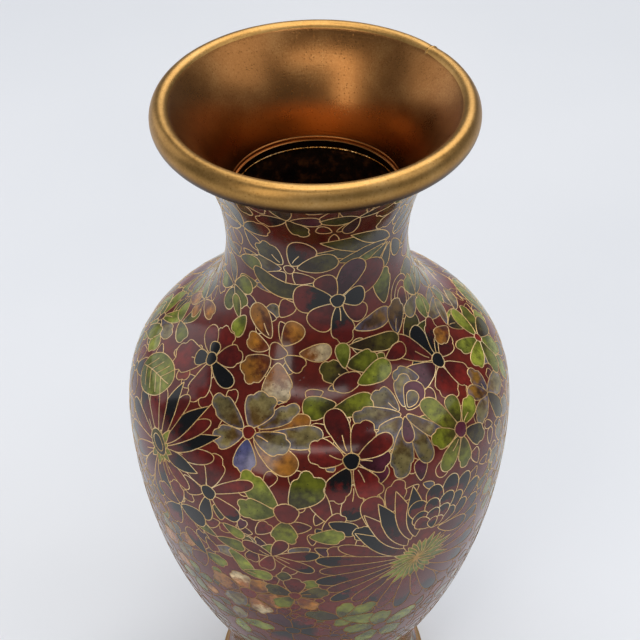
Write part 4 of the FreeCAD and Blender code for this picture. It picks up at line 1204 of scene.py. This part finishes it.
def brassFoot(form):
    low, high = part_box("foot_ring")
    outside, top = high.x / mm, high.z / mm
    neck, bore = meridian(0.0)[0] + form["overEnamel"], form["bore"]
    edge, band = form["edge"], form["edge"] + form["band"]
    outline = [(bore + form["boreEdge"], 0.0), (bore, form["boreEdge"]), (bore, top - form["topEdge"]),
               (bore + form["topEdge"], top), (neck, top)]
    outline += [(outside - form["shoulderIn"] - (outside - neck) * (1 - f), band + (top - band) * (1 - f))
                for f in (0.5, 0.8)]
    outline += [(outside - form["bandEdge"], band + 2 * form["bandEdge"]), (outside, band)]
    outline += [(outside, edge + (band - edge) * f) for f in (0.7, 0.35)]
    outline += [(outside - edge + edge * math.cos(a), edge - edge * math.sin(a))
                for a in [math.pi / 2 * k / 6 for k in range(7)]]
    newPiece("brass_foot_ring", *lathe(outline, form["steps"]), metalFinishes["turnedFootBrass"],
             "turned_brass", ["foot_ring"])


print("brass")
brassLip(lipForm)
throatSolder(brassTrumpet(trumpetForm), solderForm)
brassFoot(footForm)

# the nodes that keep their own shape get the finish of their real metal or coat
copper, brazing, gilt = (metalFinishes[name] for name in ("firedSpunCopper", "runBrazingMetal",
                                                          "gildedDrawnWire"))
keptFinishes = {
    "counter_enamel": darkCoat, "base_enamel": darkCoat, "base_plate": copper, "base_braze": brazing,
    "neck_shell": copper, "shoulder_shell": copper, "lower_shell": copper, "foot_skirt": copper,
    "neck_seam_braze": brazing, "belly_seam_braze": brazing, "foot_seam_braze": brazing,
    "neck_border_wire": gilt, "foot_border_wire": gilt,
}
for name, material in keptFinishes.items():
    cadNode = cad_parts[name]
    if cadNode.material_slots:
        for place in cadNode.material_slots:
            place.material = material
    else:
        cadNode.data.materials.append(material)

print("stage")
# board, painted with a roller: pale and almost without sheen, with faint clouds
floorForm = {"reach": 15.0, "tones": ("#dde1e8", "#e5e8ee"), "roughness": 0.6, "cloudsPerMetre": 3.0}


def paleFloor(form):
    material, tree = emptyMaterial("rolledPaintBoard")
    place = node(tree, "TexCoord").outputs["Object"]
    cloud = node(tree, "TexNoise", {"Scale": form["cloudsPerMetre"], "Detail": 3.0}, Vector=place)
    tone = node(tree, "ValToRGB", {"stops": list(zip((0.3, 0.7), form["tones"]))}, Fac=cloud.outputs["Fac"])
    shader = node(tree, "BsdfPrincipled", {"Roughness": form["roughness"]}, Base_Color=tone.outputs["Color"])
    node(tree, "OutputMaterial", None, Surface=shader.outputs["BSDF"])
    r = form["reach"]
    mesh = bpy.data.meshes.new("floor")
    mesh.from_pydata([(-r, -r, 0), (r, -r, 0), (r, r, 0), (-r, r, 0)], [], [(0, 1, 2, 3)])
    mesh.materials.append(material)
    floor = bpy.data.objects.new("pale_floor", mesh)
    bpy.context.scene.collection.objects.link(floor)


# soft panels: place and size in metres, power in watts, colour; all are turned to lightTarget
softPanels = {
    "overhead": ((0.0, 0.0, 1.6), (0.9, 0.55), 6.5, "#fffaf4"),
    "rightWindow": ((0.96, -0.26, 1.16), (0.9, 0.9), 3.4, "#fbfbff"),
    "leftPanel": ((-1.15, 0.65, 0.70), (1.0, 1.0), 3.2, "#fbfbff"),
    "frontPanel": ((-0.65, -1.0, 0.80), (0.34, 0.9), 3.2, "#fff8ee"),
    "frontTop": ((0.0, -0.95, 1.15), (0.9, 0.16), 1.4, "#fffaf4"),
}
lightTarget = Vector((0.0, 0.0, 0.17))
# a broad soft sky and a faint even glow from the room
skyForm = {"strength": 1.65, "spread": 50, "from": (0.25, 0.75, 1.0), "colour": "#fbfaf6",
           "room": "#c4cad4", "roomStrength": 0.31}


def lightUp():
    for name, (place, (width, height), power, colour) in softPanels.items():
        lamp = bpy.data.lights.new(name, "AREA")
        lamp.shape, lamp.size, lamp.size_y = "RECTANGLE", width, height
        lamp.energy, lamp.color = power, linear(colour)[:3]
        holder = bpy.data.objects.new(name, lamp)
        holder.location = place
        holder.rotation_euler = (lightTarget - Vector(place)).to_track_quat("-Z", "Y").to_euler()
        bpy.context.scene.collection.objects.link(holder)
    sky = bpy.data.lights.new("skylight", "SUN")
    sky.energy, sky.angle = skyForm["strength"], math.radians(skyForm["spread"])
    sky.color = linear(skyForm["colour"])[:3]
    holder = bpy.data.objects.new("skylight", sky)
    holder.rotation_euler = Vector(skyForm["from"]).to_track_quat("Z", "Y").to_euler()
    bpy.context.scene.collection.objects.link(holder)
    world = bpy.data.worlds.new("room")
    world.use_nodes = True
    glow = world.node_tree.nodes["Background"].inputs
    glow["Color"].default_value = linear(skyForm["room"])
    glow["Strength"].default_value = skyForm["roomStrength"]
    bpy.context.scene.world = world


paleFloor(floorForm)
lightUp()

# metres, degrees and millimetres of focal length
cameraForm = {"place": (0.00055, -0.3517, 0.4690), "pitch": 40.10, "roll": 0.75, "lens": 81.56,
              "sensor": 36.0}


def setCamera(form):
    pitch, roll = math.radians(form["pitch"]), math.radians(form["roll"])
    ahead = Vector((0, math.cos(pitch), -math.sin(pitch)))
    level, above = Vector((1, 0, 0)), Vector((0, math.sin(pitch), math.cos(pitch)))
    right = level * math.cos(roll) - above * math.sin(roll)
    up = level * math.sin(roll) + above * math.cos(roll)
    data = bpy.data.cameras.new("camera")
    data.lens, data.sensor_width, data.clip_start = form["lens"], form["sensor"], 0.01
    camera = bpy.data.objects.new("camera", data)
    turn = Matrix((right, up, -ahead)).transposed().to_4x4()
    camera.matrix_world = Matrix.Translation(Vector(form["place"])) @ turn
    bpy.context.scene.collection.objects.link(camera)
    bpy.context.scene.camera = camera


setCamera(cameraForm)
bpy.context.scene.view_settings.view_transform = "Standard"
